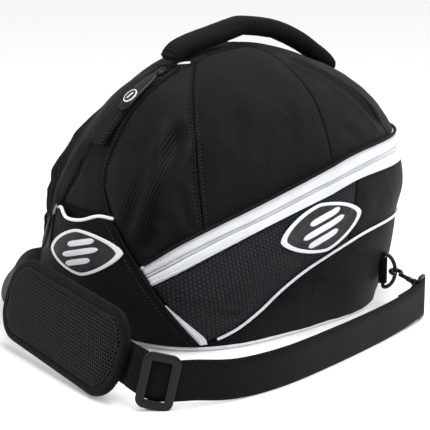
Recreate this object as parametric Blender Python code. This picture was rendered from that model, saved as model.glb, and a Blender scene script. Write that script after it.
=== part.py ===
"""A motorcycle helmet bag: a padded dome over a tapered tub, with a broad white zip band round both
sides and the back, a raised front pocket, a padded handle and a shoulder strap clipped to a ring at
each rear corner. Metres, +Z up, the pocket faces -Y, the origin on the floor under the middle."""

import math
from collections import namedtuple

import bmesh
import bpy
import numpy as np

# Overall sizes of the body
HEIGHT = 0.285
HALF_WIDTH = 0.156
FRONT = 0.190
REAR = 0.205

# Walls, seams and cords
WALL = 0.003
POCKET_WALL = 0.002
TRIM = 0.001
SEAM = 0.0006
CLEAR = 0.0003
PIPING = 0.0036
THIN_PIPING = 0.0030
FOLD_DEPTH = 0.009

# Pocket
POCKET_BULGE = 0.011
POCKET_TOP = 0.45
POCKET_HEAD_ANGLE = 19.0

# Zip band, as shares of its own width from the lower edge up
COIL_LOW = 0.44
COIL_HIGH = 0.56
TAPE_LIFT = 0.0006

# Main zip: flap, slider and puller
FLAP_WIDTH = 0.024
FLAP_LIFT = 0.0075
FLAP_THICK = 0.0022
FLAP_FROM = 24.0
FLAP_TO = 54.0
PULLER_WIDTH = 0.015
PULLER_THICK = 0.0034
PULLER_FROM = 36.0
PULLER_LEAD = 0.15
PULLER_SWAY = 0.004
SLIDER_SPAN = 4.0
SLIDER_WIDTH = 0.010
SLIDER_HEIGHT = 0.006
SMALL_PULLER = 0.036
SMALL_PULLER_WIDTH = 0.008
SMALL_SLIDER = 0.009

# Badges
BADGE_THICK = 0.0009
POCKET_BADGE_WIDTH = 0.106
POCKET_BADGE_HEIGHT = 0.046
POCKET_BADGE_SLOPE = 7.0
POCKET_BADGE_ALONG = 0.010
SIDE_BADGE_WIDTH = 0.112
SIDE_BADGE_HEIGHT = 0.050
SIDE_BADGE_SLOPE = 8.7
PULLER_BADGE_SHARE = 0.5

# Handle
HANDLE_WIDTH = 0.034
HANDLE_THICK = 0.021
HANDLE_GAP = 0.008
FOOT_WIDTH = 0.040
FOOT_THICK = 0.0012

# Strap and its metalware
WEB_WIDTH = 0.038
WEB_THICK = 0.0018
TAB_WIDTH = 0.028
TAB_THICK = 0.0016
RING_WIRE = 0.0042
HOOK_WIRE = 0.0046
D_RING_REACH = 0.0135
D_RING_HALF = 0.019
HOOK_PLAY = 0.0012
STRAP_RING_DEPTH = 0.012
GLIDE_LENGTH = 0.034
GLIDE_HEIGHT = 0.052
GLIDE_THICK = 0.0036
GLIDE_FRAME = 0.0055
GLIDE_PLAY = 0.0005
PAD_LENGTH = 0.220
PAD_WIDTH = 0.084
PAD_THICK = 0.014
PAD_EDGE = 0.008
PAD_CORNER = 0.036
PAD_BINDING = 0.0050

# Rings of the body from the base up: the station along the wall, the height as a share of HEIGHT,
# the reach forwards as a share of FRONT and backwards of REAR, the width as a share of HALF_WIDTH,
# the squareness of the outline, and how far the width narrows towards the front.
Ring = namedtuple("Ring", "station height front rear width squareness taper")
RINGS = (
    Ring(0.00, 0.000, 0.93, 0.74, 0.93, 3.2, 0.00),
    Ring(0.16, 0.165, 0.99, 0.83, 0.98, 3.1, 0.03),
    Ring(0.32, 0.345, 1.00, 0.93, 1.00, 2.9, 0.11),
    Ring(0.48, 0.540, 0.96, 1.02, 0.97, 2.6, 0.22),
    Ring(0.62, 0.700, 0.84, 0.97, 0.88, 2.3, 0.30),
    Ring(0.76, 0.850, 0.62, 0.76, 0.69, 2.1, 0.33),
    Ring(0.89, 0.958, 0.27, 0.40, 0.36, 2.0, 0.28),
    Ring(1.00, 1.000, -0.13, 0.13, 0.00, 2.0, 0.20),
)

# Soft folds of the cloth: from one place to another, each an angle from the front's middle and a
# height share, with the fold's width and depth as shares of HEIGHT and FOLD_DEPTH.
Fold = namedtuple("Fold", "angle_a height_a angle_b height_b width depth")
FOLDS = (
    Fold(38.0, 0.72, 34.0, 0.36, 0.045, 1.00),
    Fold(24.0, 0.70, 29.0, 0.44, 0.035, 0.45),
    Fold(38.0, 0.18, 62.0, 0.14, 0.040, 0.50),
)

# Seam lines round the body: an angle from the front's middle and a height share, rising backwards.
Edge = namedtuple("Edge", "angle height")
PIPING_LINE = (
    Edge(48, 0.020), Edge(59, 0.068), Edge(67, 0.122), Edge(75, 0.185), Edge(85, 0.243),
    Edge(97, 0.290), Edge(111, 0.330), Edge(130, 0.343), Edge(180, 0.343),
)
BAND_LOW = (
    Edge(34, 0.231), Edge(43, 0.282), Edge(55, 0.350), Edge(70, 0.421), Edge(87, 0.483),
    Edge(103, 0.530), Edge(120, 0.540), Edge(180, 0.536),
)
BAND_TOP = (
    Edge(30, 0.294), Edge(37, 0.338), Edge(44, 0.383), Edge(55, 0.442), Edge(67, 0.499),
    Edge(79, 0.551), Edge(94, 0.608), Edge(108, 0.634), Edge(133, 0.644), Edge(180, 0.644),
)
VERTICAL_SEAM = 50.5
CURVED_SEAM = 91.0
REAR_CREASE = 126.0
TEXTURE_END = 102.0

# Half the centre strip's width, by the angle over the body from the front's level to its top.
StripWidth = namedtuple("StripWidth", "lean half")
STRIP_WIDTHS = (
    StripWidth(4, 0.0400), StripWidth(14, 0.0235), StripWidth(30, 0.0170), StripWidth(50, 0.0162),
    StripWidth(96, 0.0170),
)
STRIP_TOP_SEAM = 68.5
STRIP_END = 95.0
CREASE_HALF_WIDTH = 0.030
CREASE_SETBACK = 0.008

# The pocket's top edge, by the share of its width from the far side and of the body's height
PocketTop = namedtuple("PocketTop", "across height")
POCKET_RIM = (
    PocketTop(0.00, 0.425), PocketTop(0.15, 0.435), PocketTop(0.35, 0.412), PocketTop(0.60, 0.418),
    PocketTop(0.85, 0.442), PocketTop(1.00, 0.440),
)

# The handle along the roof: places as shares of REAR, the gap under it as a share of HANDLE_GAP and
# its thickness as a share of HANDLE_THICK.
HandlePoint = namedtuple("HandlePoint", "along gap thick")
HANDLE_LINE = (
    HandlePoint(-0.350, 0.00, 0.40), HandlePoint(-0.300, 0.00, 0.78), HandlePoint(-0.200, 0.00, 1.00),
    HandlePoint(-0.090, 0.12, 1.00), HandlePoint(0.050, 0.55, 1.00), HandlePoint(0.210, 0.98, 1.00),
    HandlePoint(0.370, 1.00, 1.00), HandlePoint(0.520, 0.72, 0.98), HandlePoint(0.640, 0.20, 0.92),
    HandlePoint(0.720, 0.00, 0.74), HandlePoint(0.780, 0.00, 0.40),
)
FOOT_SPANS = (("front", -0.365, -0.180), ("rear", 0.640, 0.800))

# The strap's way from a ring forwards, seen from above: places as shares of HALF_WIDTH and FRONT,
# how far its top leans towards the bag, and how high its lower edge stands in shares of WEB_WIDTH.
StrapPoint = namedtuple("StrapPoint", "x y lean rise")
STRAP_NEAR = (
    StrapPoint(1.365, 0.370, 0, 0.05), StrapPoint(1.440, 0.080, 0, 0.0),
    StrapPoint(1.530, -0.340, 0, 0.0), StrapPoint(1.590, -0.760, 0, 0.0),
    StrapPoint(1.565, -1.060, 0, 0.02), StrapPoint(1.480, -1.260, 0, 0.13),
)
STRAP_FAR = (
    StrapPoint(-1.345, 0.370, 6, 0.05), StrapPoint(-1.420, 0.080, 20, 0.0),
    StrapPoint(-1.460, -0.300, 42, 0.02), StrapPoint(-1.350, -0.620, 46, 0.24),
    StrapPoint(-1.000, -0.900, 38, 0.52), StrapPoint(-0.560, -1.180, 27, 0.72),
)
GLIDE_PLACE = (1.375, -1.410)
PAD_PLACE = (0.500, -1.437)
PAD_YAW = -6.4
PAD_PITCH = -3.5
PAD_LEAN = 19.0
RING_ANGLE = 125.0
RING_HEIGHT = 0.145
STRAP_RING_PLACE = (1.270, 0.585)
STRAP_RING_HEIGHT = 0.115

CORE = np.array((0.0, 0.010, 0.40 * HEIGHT))
NORMAL_SPAN = 0.004

for old in list(bpy.data.objects):
    bpy.data.objects.remove(old, do_unlink=True)

bag = bpy.data.collections.new("helmet_bag")
bpy.context.scene.collection.children.link(bag)
root = bpy.data.objects.new("bag_frame", None)
bag.objects.link(root)


def finish(name, colour, roughness, metallic=0.0):
    """A plain material of the photographed colour."""
    material = bpy.data.materials.new(name)
    material.use_nodes = True
    shader = material.node_tree.nodes["Principled BSDF"]
    shader.inputs["Base Color"].default_value = (*colour, 1.0)
    shader.inputs["Roughness"].default_value = roughness
    shader.inputs["Metallic"].default_value = metallic
    return material


BLACK_CLOTH = finish("black_polyester", (0.014, 0.014, 0.015), 0.85)
CHECK_CLOTH = finish("embossed_check_cloth", (0.030, 0.030, 0.034), 0.55)
WHITE_TRIM = finish("white_piping", (0.82, 0.83, 0.86), 0.55)
WHITE_ZIP = finish("white_zip_tape", (0.80, 0.81, 0.84), 0.60)
MESH_CLOTH = finish("black_air_mesh", (0.020, 0.020, 0.021), 0.90)
WEBBING = finish("black_webbing", (0.016, 0.016, 0.017), 0.70)
HARD_PLASTIC = finish("black_acetal", (0.018, 0.018, 0.019), 0.40)
RUBBER = finish("black_rubber", (0.015, 0.015, 0.016), 0.50)
BLACK_METAL = finish("black_zinc", (0.020, 0.020, 0.021), 0.35, 0.0)
GREY_METAL = finish("grey_zinc", (0.30, 0.30, 0.31), 0.35, 1.0)


# Surface of the body

def smooth(rows, at):
    """All the columns of a table after its first, on one smooth curve through its rows."""
    knots = [row[0] for row in rows]
    at = min(max(at, knots[0]), knots[-1])
    low = max(i for i in range(len(knots) - 1) if knots[i] <= at)
    step = knots[low + 1] - knots[low]
    u = (at - knots[low]) / step
    here, there = np.array(rows[low][1:], float), np.array(rows[low + 1][1:], float)
    before, after = max(low - 1, 0), min(low + 2, len(rows) - 1)
    leave = (there - np.array(rows[before][1:], float)) / (knots[low + 1] - knots[before])
    reach = (np.array(rows[after][1:], float) - here) / (knots[after] - knots[low])
    return (
        (2 * u**3 - 3 * u**2 + 1) * here
        + (u**3 - 2 * u**2 + u) * step * leave
        + (3 * u**2 - 2 * u**3) * there
        + (u**3 - u**2) * step * reach
    )


STATIONS = np.linspace(0.0, 1.0, 501)
RING_TABLE = np.array([smooth(RINGS, station) for station in STATIONS])


def ring_at(height):
    """The body's ring at a height share: front, rear, width, squareness and taper."""
    station = np.interp(min(max(height, 0.0), 1.0), RING_TABLE[:, 0], STATIONS)
    return [np.interp(station, STATIONS, RING_TABLE[:, k]) for k in range(1, 6)]


def fullness(point):
    """1 on the skin, less inside the bag and more outside it."""
    x, y, z = point
    if z >= HEIGHT:
        return 2.0 + (z - HEIGHT) / HEIGHT
    front, rear, width, squareness, taper = ring_at(z / HEIGHT)
    middle = (REAR * rear - FRONT * front) / 2
    half = (REAR * rear + FRONT * front) / 2
    v = (y - middle) / max(half, 1e-6)
    narrow = max(1 - taper * max(0.0, -v), 0.05)
    u = x / max(HALF_WIDTH * width * narrow, 1e-6)
    return (abs(u) ** squareness + abs(v) ** squareness) ** (1 / squareness)


def skin_along(origin, direction, near=0.0, far=2 * (FRONT + REAR), steps=34):
    """Where a ray from inside the bag meets its skin, between two distances along it."""
    origin = np.asarray(origin, float)
    direction = np.asarray(direction, float) / np.linalg.norm(direction)
    for _ in range(steps):
        middle = (near + far) / 2
        if fullness(origin + direction * middle) < 1:
            near = middle
        else:
            far = middle
    return origin + direction * near


def wall_point(angle, height):
    """The skin at an angle from the front's middle, towards +X, and a height share."""
    front, rear, width, squareness, taper = ring_at(height)
    across, along = math.sin(math.radians(angle)), -math.cos(math.radians(angle))
    reach = (abs(across) ** squareness + abs(along) ** squareness) ** (-1 / squareness)
    u, v = across * reach, along * reach
    middle = (REAR * rear - FRONT * front) / 2
    half = (REAR * rear + FRONT * front) / 2
    narrow = 1 - taper * max(0.0, -v)
    return np.array((HALF_WIDTH * width * narrow * u, middle + half * v, HEIGHT * height))


def strip_point(x, lean):
    """The skin at a distance from the middle plane, leaning from the front's level over the top."""
    turn = math.radians(lean)
    return skin_along((x, CORE[1], CORE[2]), (0, -math.cos(turn), math.sin(turn)))


def outward(point):
    """The skin's normal, from four places on the skin round the point."""
    way = point - CORE
    reach = np.linalg.norm(way)
    first = np.cross(way, (0.0, 1.0, 0.0) if abs(way[2]) > reach / 2 else (0.0, 0.0, 1.0))
    first *= NORMAL_SPAN / np.linalg.norm(first)
    second = np.cross(way, first) / reach
    around = [
        skin_along(CORE, way + step, reach * 0.9, reach * 1.1, 20)
        for step in (first, -first, second, -second)
    ]
    normal = np.cross(around[0] - around[1], around[2] - around[3])
    return normal * np.sign(normal @ way) / np.linalg.norm(normal)


def fold_at(point):
    """How far the cloth's folds draw the skin in at a point."""
    drawn = 0.0
    for fold in FOLDS:
        start = wall_point(fold.angle_a, fold.height_a)
        end = wall_point(fold.angle_b, fold.height_b)
        here = np.array((abs(point[0]), point[1], point[2]))
        span = end - start
        share = float(np.clip((here - start) @ span / (span @ span), 0, 1))
        away = np.linalg.norm(here - start - span * share) / (fold.width * HEIGHT)
        drawn += fold.depth * FOLD_DEPTH * math.exp(-away * away * 2) * (1 - (2 * share - 1) ** 4)
    return drawn


# Making solids

def place(name, mesh, material, soft=True):
    mesh.materials.clear()
    mesh.materials.append(material)
    if soft:
        mesh.shade_smooth()
        mesh.set_sharp_from_angle(angle=math.radians(40))
    thing = bpy.data.objects.new(name, mesh)
    thing.parent = root
    bag.objects.link(thing)
    return thing


def solid(name, work, material):
    """The object made from a closed bmesh, with its faces turned outwards."""
    bmesh.ops.recalc_face_normals(work, faces=work.faces)
    if work.calc_volume(signed=True) < 0:
        bmesh.ops.reverse_faces(work, faces=work.faces)
    bmesh.ops.triangulate(work, faces=work.faces)
    mesh = bpy.data.meshes.new(name)
    work.to_mesh(mesh)
    work.free()
    return place(name, mesh, material)


def loft(name, sections, material, closed=False):
    """A solid through sections of equally many points; its ends are capped unless it is a ring."""
    work = bmesh.new()
    rings = [[work.verts.new(point) for point in section] for section in sections]
    count = len(rings)
    for i in range(count if closed else count - 1):
        here, there = rings[i], rings[(i + 1) % count]
        for j in range(len(here)):
            k = (j + 1) % len(here)
            work.faces.new((here[j], here[k], there[k], there[j]))
    if not closed:
        work.faces.new(rings[0][::-1])
        work.faces.new(rings[-1])
    return solid(name, work, material)


def trimmed(rows, seam):
    """The grid with its border drawn in by half a seam's gap."""
    grid = np.array(rows, float)
    for _ in range(2):
        for edge, inner in ((0, 1), (-1, -2)):
            step = grid[inner] - grid[edge]
            length = np.maximum(np.linalg.norm(step, axis=1, keepdims=True), 1e-9)
            grid[edge] += step * np.minimum(seam / 2 / length, 0.4)
        grid = grid.transpose(1, 0, 2)
    return grid


def shell(name, rows, thickness, material, lifts=0.0):
    """A wall over a grid of skin points. Its outer face stands lifts above the folded skin."""
    grid = trimmed(rows, SEAM)
    lifts = np.broadcast_to(lifts, grid.shape[:2])
    down, across = grid.shape[:2]
    outer, inner = np.empty_like(grid), np.empty_like(grid)
    for i in range(down):
        for j in range(across):
            point = grid[i, j]
            normal = outward(point)
            level = lifts[i, j] - fold_at(point)
            outer[i, j] = point + normal * level
            inner[i, j] = point + normal * (level - thickness)
    work = bmesh.new()
    top = [[work.verts.new(p) for p in row] for row in outer]
    back = [[work.verts.new(p) for p in row] for row in inner]
    for i in range(down - 1):
        for j in range(across - 1):
            work.faces.new((top[i][j], top[i][j + 1], top[i + 1][j + 1], top[i + 1][j]))
            work.faces.new((back[i][j], back[i + 1][j], back[i + 1][j + 1], back[i][j + 1]))
    rim = [(0, j) for j in range(across)] + [(i, across - 1) for i in range(1, down)]
    rim += [(down - 1, j) for j in range(across - 2, -1, -1)]
    rim += [(i, 0) for i in range(down - 2, 0, -1)]
    for (a, b), (c, d) in zip(rim, rim[1:] + rim[:1]):
        work.faces.new((top[a][b], back[a][b], back[c][d], top[c][d]))
    return solid(name, work, material)


def cord(name, points, thickness, material, ring=False, sides=2):
    """A round cord or wire along points, as a curve with filled ends."""
    curve = bpy.data.curves.new(name, "CURVE")
    curve.dimensions = "3D"
    curve.bevel_depth = thickness / 2
    curve.bevel_resolution = sides
    curve.use_fill_caps = True
    spline = curve.splines.new("POLY")
    spline.points.add(len(points) - 1)
    for target, point in zip(spline.points, points):
        target.co = (*point, 1.0)
    spline.use_cyclic_u = ring
    curve.materials.append(material)
    thing = bpy.data.objects.new(name, curve)
    thing.parent = root
    bag.objects.link(thing)
    return thing


def raised_line(points, height):
    """A line of skin points lifted clear of the skin."""
    return [point + outward(point) * (height - fold_at(point)) for point in map(np.array, points)]


def line_at(edges, angle):
    return float(smooth(edges, angle)[0])


def spread(low, high, count):
    return [low + (high - low) * i / count for i in range(count + 1)]


# Angles of the panels' columns along each seam, the same on both sides of the bag
TEXTURE_COLUMNS, REAR_COLUMNS = 10, 10
FRONT_GORE_COLUMNS, SIDE_GORE_COLUMNS, REAR_GORE_COLUMNS, CROWN_COLUMNS = 7, 5, 3, 5
GORE_ROWS = 7
PIPING_ANGLES = spread(48, TEXTURE_END, TEXTURE_COLUMNS) + spread(TEXTURE_END, 180, REAR_COLUMNS)[1:]
LOW_ANGLES = spread(34, TEXTURE_END, TEXTURE_COLUMNS) + spread(TEXTURE_END, 180, REAR_COLUMNS)[1:]
TOP_ANGLES = (
    spread(30, VERTICAL_SEAM, FRONT_GORE_COLUMNS)
    + spread(VERTICAL_SEAM, CURVED_SEAM, SIDE_GORE_COLUMNS)[1:]
    + spread(CURVED_SEAM, REAR_CREASE, REAR_GORE_COLUMNS)[1:]
    + spread(REAR_CREASE, 180, CROWN_COLUMNS)[1:]
)
BASE_LEVEL = (WALL + CLEAR) / HEIGHT


def piping_edge(i):
    return PIPING_ANGLES[i], max(line_at(PIPING_LINE, PIPING_ANGLES[i]), BASE_LEVEL)


def low_edge(i):
    return LOW_ANGLES[i], line_at(BAND_LOW, LOW_ANGLES[i])


def top_edge(i):
    return TOP_ANGLES[i], line_at(BAND_TOP, TOP_ANGLES[i])


def between(lower, upper, rows, columns, side):
    """A grid of skin points between two seams, from a first to a last column on one side."""
    grid = []
    for row in range(rows + 1):
        share = row / rows
        line = []
        for i in columns:
            (angle_a, height_a), (angle_b, height_b) = lower(i), upper(i)
            angle = angle_a + (angle_b - angle_a) * share
            line.append(wall_point(side * angle, height_a + (height_b - height_a) * share))
        grid.append(line)
    return grid


def right_round(near, far):
    """Joins the rows of both sides into one grid round the back."""
    return [a + b[::-1][1:] for a, b in zip(near, far)]


# Base

base_outline = [wall_point(angle, 0.0) for angle in spread(0, 360, 38)[:-1]]
loft(
    "base_panel",
    [base_outline, [point + (0, 0, WALL) for point in base_outline]],
    BLACK_CLOTH,
)
cord(
    "base_piping",
    [p + outward(p) * (PIPING / 2 + 3 * CLEAR) + (0, 0, PIPING / 2 + CLEAR) for p in base_outline],
    PIPING, WHITE_TRIM, ring=True,
)

# Tub: front wall, textured sides, plain back

band_foot, band_head = BAND_LOW[0], BAND_TOP[0]
POCKET_SIDE = (
    Edge(PIPING_LINE[0].angle, BASE_LEVEL), band_foot, band_head, Edge(POCKET_HEAD_ANGLE, POCKET_TOP),
)


def pocket_side(height):
    """The angle of the pocket's side seam, in straight runs between the band's corners."""
    return float(np.interp(height, [e.height for e in POCKET_SIDE], [e.angle for e in POCKET_SIDE]))


def front_heights(foot, head):
    """The heights of the front's rows, which meet the band's corners on the way up."""
    low, high = band_foot.height, band_head.height
    return spread(foot, low, 4) + spread(low, high, 1)[1:] + spread(high, head, 4)[1:]


FRONT_COLUMNS = 10
front_grid = [
    [wall_point(pocket_side(h) * (2 * j / FRONT_COLUMNS - 1), h) for j in range(FRONT_COLUMNS + 1)]
    for h in front_heights(BASE_LEVEL, POCKET_TOP)
]
shell("front_panel", front_grid, WALL, BLACK_CLOTH)

all_columns = range(len(PIPING_ANGLES))


def ground_edge(i):
    return PIPING_ANGLES[i], BASE_LEVEL


shell(
    "lower_panel",
    right_round(
        between(ground_edge, piping_edge, 2, all_columns, 1),
        between(ground_edge, piping_edge, 2, all_columns, -1),
    ),
    WALL, BLACK_CLOTH,
)
rear_columns = range(TEXTURE_COLUMNS, len(PIPING_ANGLES))
shell(
    "rear_wrap_panel",
    right_round(
        between(piping_edge, low_edge, 3, rear_columns, 1),
        between(piping_edge, low_edge, 3, rear_columns, -1),
    ),
    WALL, BLACK_CLOTH,
)
SIDES = (("near", 1), ("far", -1))
for label, side in SIDES:
    shell(
        f"side_panel_{label}",
        between(piping_edge, low_edge, 6, range(TEXTURE_COLUMNS + 1), side),
        WALL, CHECK_CLOTH,
    )

# Zip band


def band_level(share):
    def edge(i):
        (angle_a, height_a), (angle_b, height_b) = low_edge(i), top_edge(i)
        return angle_a + (angle_b - angle_a) * share, height_a + (height_b - height_a) * share
    return edge


def band_strip(name, low, high, rows, lift):
    shell(
        name,
        right_round(
            between(band_level(low), band_level(high), rows, all_columns, 1),
            between(band_level(low), band_level(high), rows, all_columns, -1),
        ),
        WALL, WHITE_ZIP, lift,
    )


band_strip("zip_tape_lower", 0.0, COIL_LOW, 1, TAPE_LIFT)
band_strip("zip_coil", COIL_LOW, COIL_HIGH, 1, 0.0)
band_strip("zip_tape_upper", COIL_HIGH, 1.0, 1, TAPE_LIFT)


def seam_line(edges, angles):
    """Skin points along a seam, from the near side round the back to the far side."""
    near = [wall_point(angle, line_at(edges, angle)) for angle in angles]
    far = [wall_point(-angle, line_at(edges, angle)) for angle in angles]
    return near + far[::-1][1:]


BINDING_ROOM = 1.6
cord(
    "band_piping",
    raised_line(
        seam_line(BAND_TOP, [TOP_ANGLES[0] + BINDING_ROOM] + TOP_ANGLES[1:]),
        TAPE_LIFT + CLEAR + PIPING / 2,
    ),
    PIPING, BLACK_CLOTH,
)
cord(
    "side_piping",
    raised_line(seam_line(PIPING_LINE, PIPING_ANGLES[1:]), CLEAR + THIN_PIPING / 2),
    THIN_PIPING, WHITE_TRIM,
)

# White wedges beside the pocket's foot: along the pocket's side seam, widest a third of the way up

WEDGE_TOP = 0.165
WEDGE_WIDTH = 5.0
WedgeRow = namedtuple("WedgeRow", "share width")
WEDGE_ROWS = (
    WedgeRow(0.0, 0.35), WedgeRow(0.20, 1.00), WedgeRow(0.45, 0.80), WedgeRow(0.75, 0.35),
    WedgeRow(1.0, 0.12),
)
wedge_foot = BASE_LEVEL + THIN_PIPING / HEIGHT
for label, side in SIDES:
    rows = []
    for share in spread(0, 1, 6):
        height = wedge_foot + (WEDGE_TOP - wedge_foot) * share
        start = pocket_side(height)
        width = WEDGE_WIDTH * float(smooth(WEDGE_ROWS, share)[0])
        rows.append([wall_point(side * (start + width * k / 2), height) for k in range(3)])
    shell(f"corner_wedge_{label}", rows, TRIM, WHITE_TRIM, CLEAR + TRIM)

# Dome: centre strip, gores and back

LEANS = spread(4.4, STRIP_TOP_SEAM, FRONT_GORE_COLUMNS)
LEANS += spread(STRIP_TOP_SEAM, STRIP_END, SIDE_GORE_COLUMNS)[1:]
pocket_corner = wall_point(POCKET_HEAD_ANGLE, POCKET_TOP)
first_lean = math.degrees(
    math.atan2(pocket_corner[2] - CORE[2], CORE[1] - pocket_corner[1])
)
LEANS[0] = first_lean


def strip_half(lean):
    return float(smooth(STRIP_WIDTHS, lean)[0])


def strip_edge(i):
    if i == 0:
        return pocket_corner
    return strip_point(strip_half(LEANS[i]), LEANS[i])


strip_rows = []
for i, lean in enumerate(LEANS):
    half = strip_edge(i)[0]
    row = [strip_point(half * k / 2, lean) for k in (-2, -1, 0, 1, 2)]
    if i == 0:
        row = [wall_point(POCKET_HEAD_ANGLE * k / 2, POCKET_TOP) for k in (-2, -1, 0, 1, 2)]
    strip_rows.append(row)
shell("centre_strip", strip_rows, WALL, BLACK_CLOTH)


def crown_edge(i):
    """The upper end of a gore's column: on the strip's edge, then out along the crown's crease."""
    last = FRONT_GORE_COLUMNS + SIDE_GORE_COLUMNS
    if i <= last:
        return strip_edge(i)
    share = min((i - last) / REAR_GORE_COLUMNS, 1)
    end = strip_point(strip_half(STRIP_END), STRIP_END)
    x = end[0] + (CREASE_HALF_WIDTH - end[0]) * share
    return skin_along((x, end[1] + CREASE_SETBACK * share, CORE[2]), (0, 0, 1))


def bent_column(low, high):
    """Skin points over the dome from one seam up to another."""
    column = [low]
    for row in range(1, GORE_ROWS):
        share = row / GORE_ROWS
        column.append(skin_along(CORE, (low - CORE) * (1 - share) + (high - CORE) * share))
    return column + [high]


def mirrored(column, side):
    return [np.array((side * point[0], point[1], point[2])) for point in column]


def gore_column(i):
    if i == 0:
        heights = spread(band_head.height, POCKET_TOP, GORE_ROWS)
        return [wall_point(pocket_side(h), h) for h in heights]
    return bent_column(wall_point(*top_edge(i)), crown_edge(i))


def rows_of(columns):
    return list(map(list, zip(*columns)))


vertical = FRONT_GORE_COLUMNS
curved = vertical + SIDE_GORE_COLUMNS
crease = curved + REAR_GORE_COLUMNS
gore_columns = [gore_column(i) for i in range(crease + 1)]
GORES = (("front_gore", 0, vertical), ("side_gore", vertical, curved), ("rear_gore", curved, crease))
for label, side in SIDES:
    for name, first, last in GORES:
        columns = [mirrored(column, side) for column in gore_columns[first : last + 1]]
        shell(f"{name}_{label}", rows_of(columns), WALL, BLACK_CLOTH)


def dome_back_column(k):
    """From the band's top up to the crown, for a column from the rear crease to the middle."""
    low = wall_point(*top_edge(crease + k))
    if k <= REAR_GORE_COLUMNS:
        return bent_column(low, crown_edge(crease - k))
    end = crown_edge(curved)
    share = (CROWN_COLUMNS - k) / (CROWN_COLUMNS - REAR_GORE_COLUMNS)
    return bent_column(low, skin_along((end[0] * share, end[1], CORE[2]), (0, 0, 1)))


back_columns = [dome_back_column(k) for k in range(CROWN_COLUMNS + 1)]
both_sides = back_columns + [mirrored(column, -1) for column in back_columns[::-1][1:]]
shell("rear_dome_panel", rows_of(both_sides), WALL, BLACK_CLOTH)

# Front pocket: a pouch on the front wall, open at its top

pocket_foot = (PIPING + 2 * CLEAR) / HEIGHT


def rim_at(across):
    return float(smooth(POCKET_RIM, across)[0])


def pocket_lift(across, height):
    """How far the pocket's outer face stands off the skin."""
    up = (height - pocket_foot) / (rim_at(across) - pocket_foot)
    swell = math.sin(math.pi * min(max(across, 0.0), 1.0)) ** 0.75
    rise = math.sin(math.pi / 2 * min(max(up, 0.0) / 0.5, 1.0))
    return POCKET_WALL + CLEAR + POCKET_BULGE * swell * rise


def pocket_place(across, height):
    return wall_point(pocket_side(height) * (2 * across - 1), height)


pocket_rows, pocket_lifts = [], []
for i in range(len(front_heights(0, 1))):
    shares = spread(0, 1, FRONT_COLUMNS)
    levels = [front_heights(pocket_foot, rim_at(share))[i] for share in shares]
    pocket_rows.append([pocket_place(share, level) for share, level in zip(shares, levels)])
    pocket_lifts.append([pocket_lift(share, level) for share, level in zip(shares, levels)])
shell("front_pocket", pocket_rows, POCKET_WALL, BLACK_CLOTH, pocket_lifts)

rim_line = []
for across in spread(0, 1, 14):
    height = rim_at(across) + (PIPING / 2 + 2 * CLEAR) / HEIGHT
    point = pocket_place(across, height)
    stand = max(pocket_lift(across, rim_at(across)) - POCKET_WALL / 2, PIPING / 2 + CLEAR)
    rim_line.append(point + outward(point) * (stand - fold_at(point)))
cord("pocket_piping", rim_line, PIPING, WHITE_TRIM)

BINDING = 0.0026
BINDING_STOP = 0.030
for label, side in SIDES:
    heights = spread(pocket_foot + BINDING / HEIGHT, POCKET_TOP - BINDING_STOP, 9)
    seam = [wall_point(side * pocket_side(h), h) for h in heights]
    cord(
        f"pocket_binding_{label}",
        raised_line(seam, POCKET_WALL + 3 * CLEAR + BINDING / 2),
        BINDING, BLACK_CLOTH,
    )

# Plain badges, in the places of the printed ones

BADGE_RINGS, BADGE_SIDES, BADGE_POWER = 4, 16, 1.5


def lozenge(share, turn):
    """A place in a rounded lozenge, from its middle at 0 to its edge at 1, in half sizes."""
    c, s = math.cos(turn), math.sin(turn)
    reach = share * (abs(c) ** BADGE_POWER + abs(s) ** BADGE_POWER) ** (-1 / BADGE_POWER)
    return c * reach, s * reach


def badge(name, width, height, seat, material):
    """A thin plate of lozenge outline; seat gives the surface under a place of the badge."""
    work = bmesh.new()
    layers = []
    for lift in (CLEAR + BADGE_THICK, CLEAR):
        middle, normal = seat(0.0, 0.0)
        rings = [[work.verts.new(middle + normal * lift)]]
        for k in range(1, BADGE_RINGS + 1):
            ring = []
            for j in range(BADGE_SIDES):
                u, v = lozenge(k / BADGE_RINGS, 2 * math.pi * j / BADGE_SIDES)
                point, normal = seat(u * width / 2, v * height / 2)
                ring.append(work.verts.new(point + normal * lift))
            rings.append(ring)
        for j in range(BADGE_SIDES):
            work.faces.new((rings[0][0], rings[1][j], rings[1][(j + 1) % BADGE_SIDES]))
        for inner, outer in zip(rings[1:], rings[2:]):
            for j in range(BADGE_SIDES):
                k = (j + 1) % BADGE_SIDES
                work.faces.new((inner[j], outer[j], outer[k], inner[k]))
        layers.append(rings[-1])
    for j in range(BADGE_SIDES):
        k = (j + 1) % BADGE_SIDES
        work.faces.new((layers[0][j], layers[1][j], layers[1][k], layers[0][k]))
    return solid(name, work, material)


def angle_of(point):
    """The angle from the front's middle of a place on the skin."""
    front, rear, width, _, taper = ring_at(point[2] / HEIGHT)
    middle = (REAR * rear - FRONT * front) / 2
    v = (point[1] - middle) / ((REAR * rear + FRONT * front) / 2)
    u = point[0] / (HALF_WIDTH * width * (1 - taper * max(0.0, -v)))
    return math.degrees(math.atan2(u, -v))


def pocket_face(x, z):
    """The pocket's outer face at a distance from the middle plane and a height."""
    point = skin_along((x, CORE[1], z), (0, -1, 0))
    across = (angle_of(point) / pocket_side(z / HEIGHT) + 1) / 2
    normal = outward(point)
    return point + normal * (pocket_lift(across, z / HEIGHT) - fold_at(point)), normal


POCKET_BADGE_LEVEL = 0.315


def pocket_seat(p, q):
    slope = math.radians(POCKET_BADGE_SLOPE)
    face, normal = pocket_face(
        POCKET_BADGE_ALONG + p * math.cos(slope) - q * math.sin(slope),
        HEIGHT * POCKET_BADGE_LEVEL + p * math.sin(slope) + q * math.cos(slope),
    )
    return face + normal * CLEAR, normal


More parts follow.
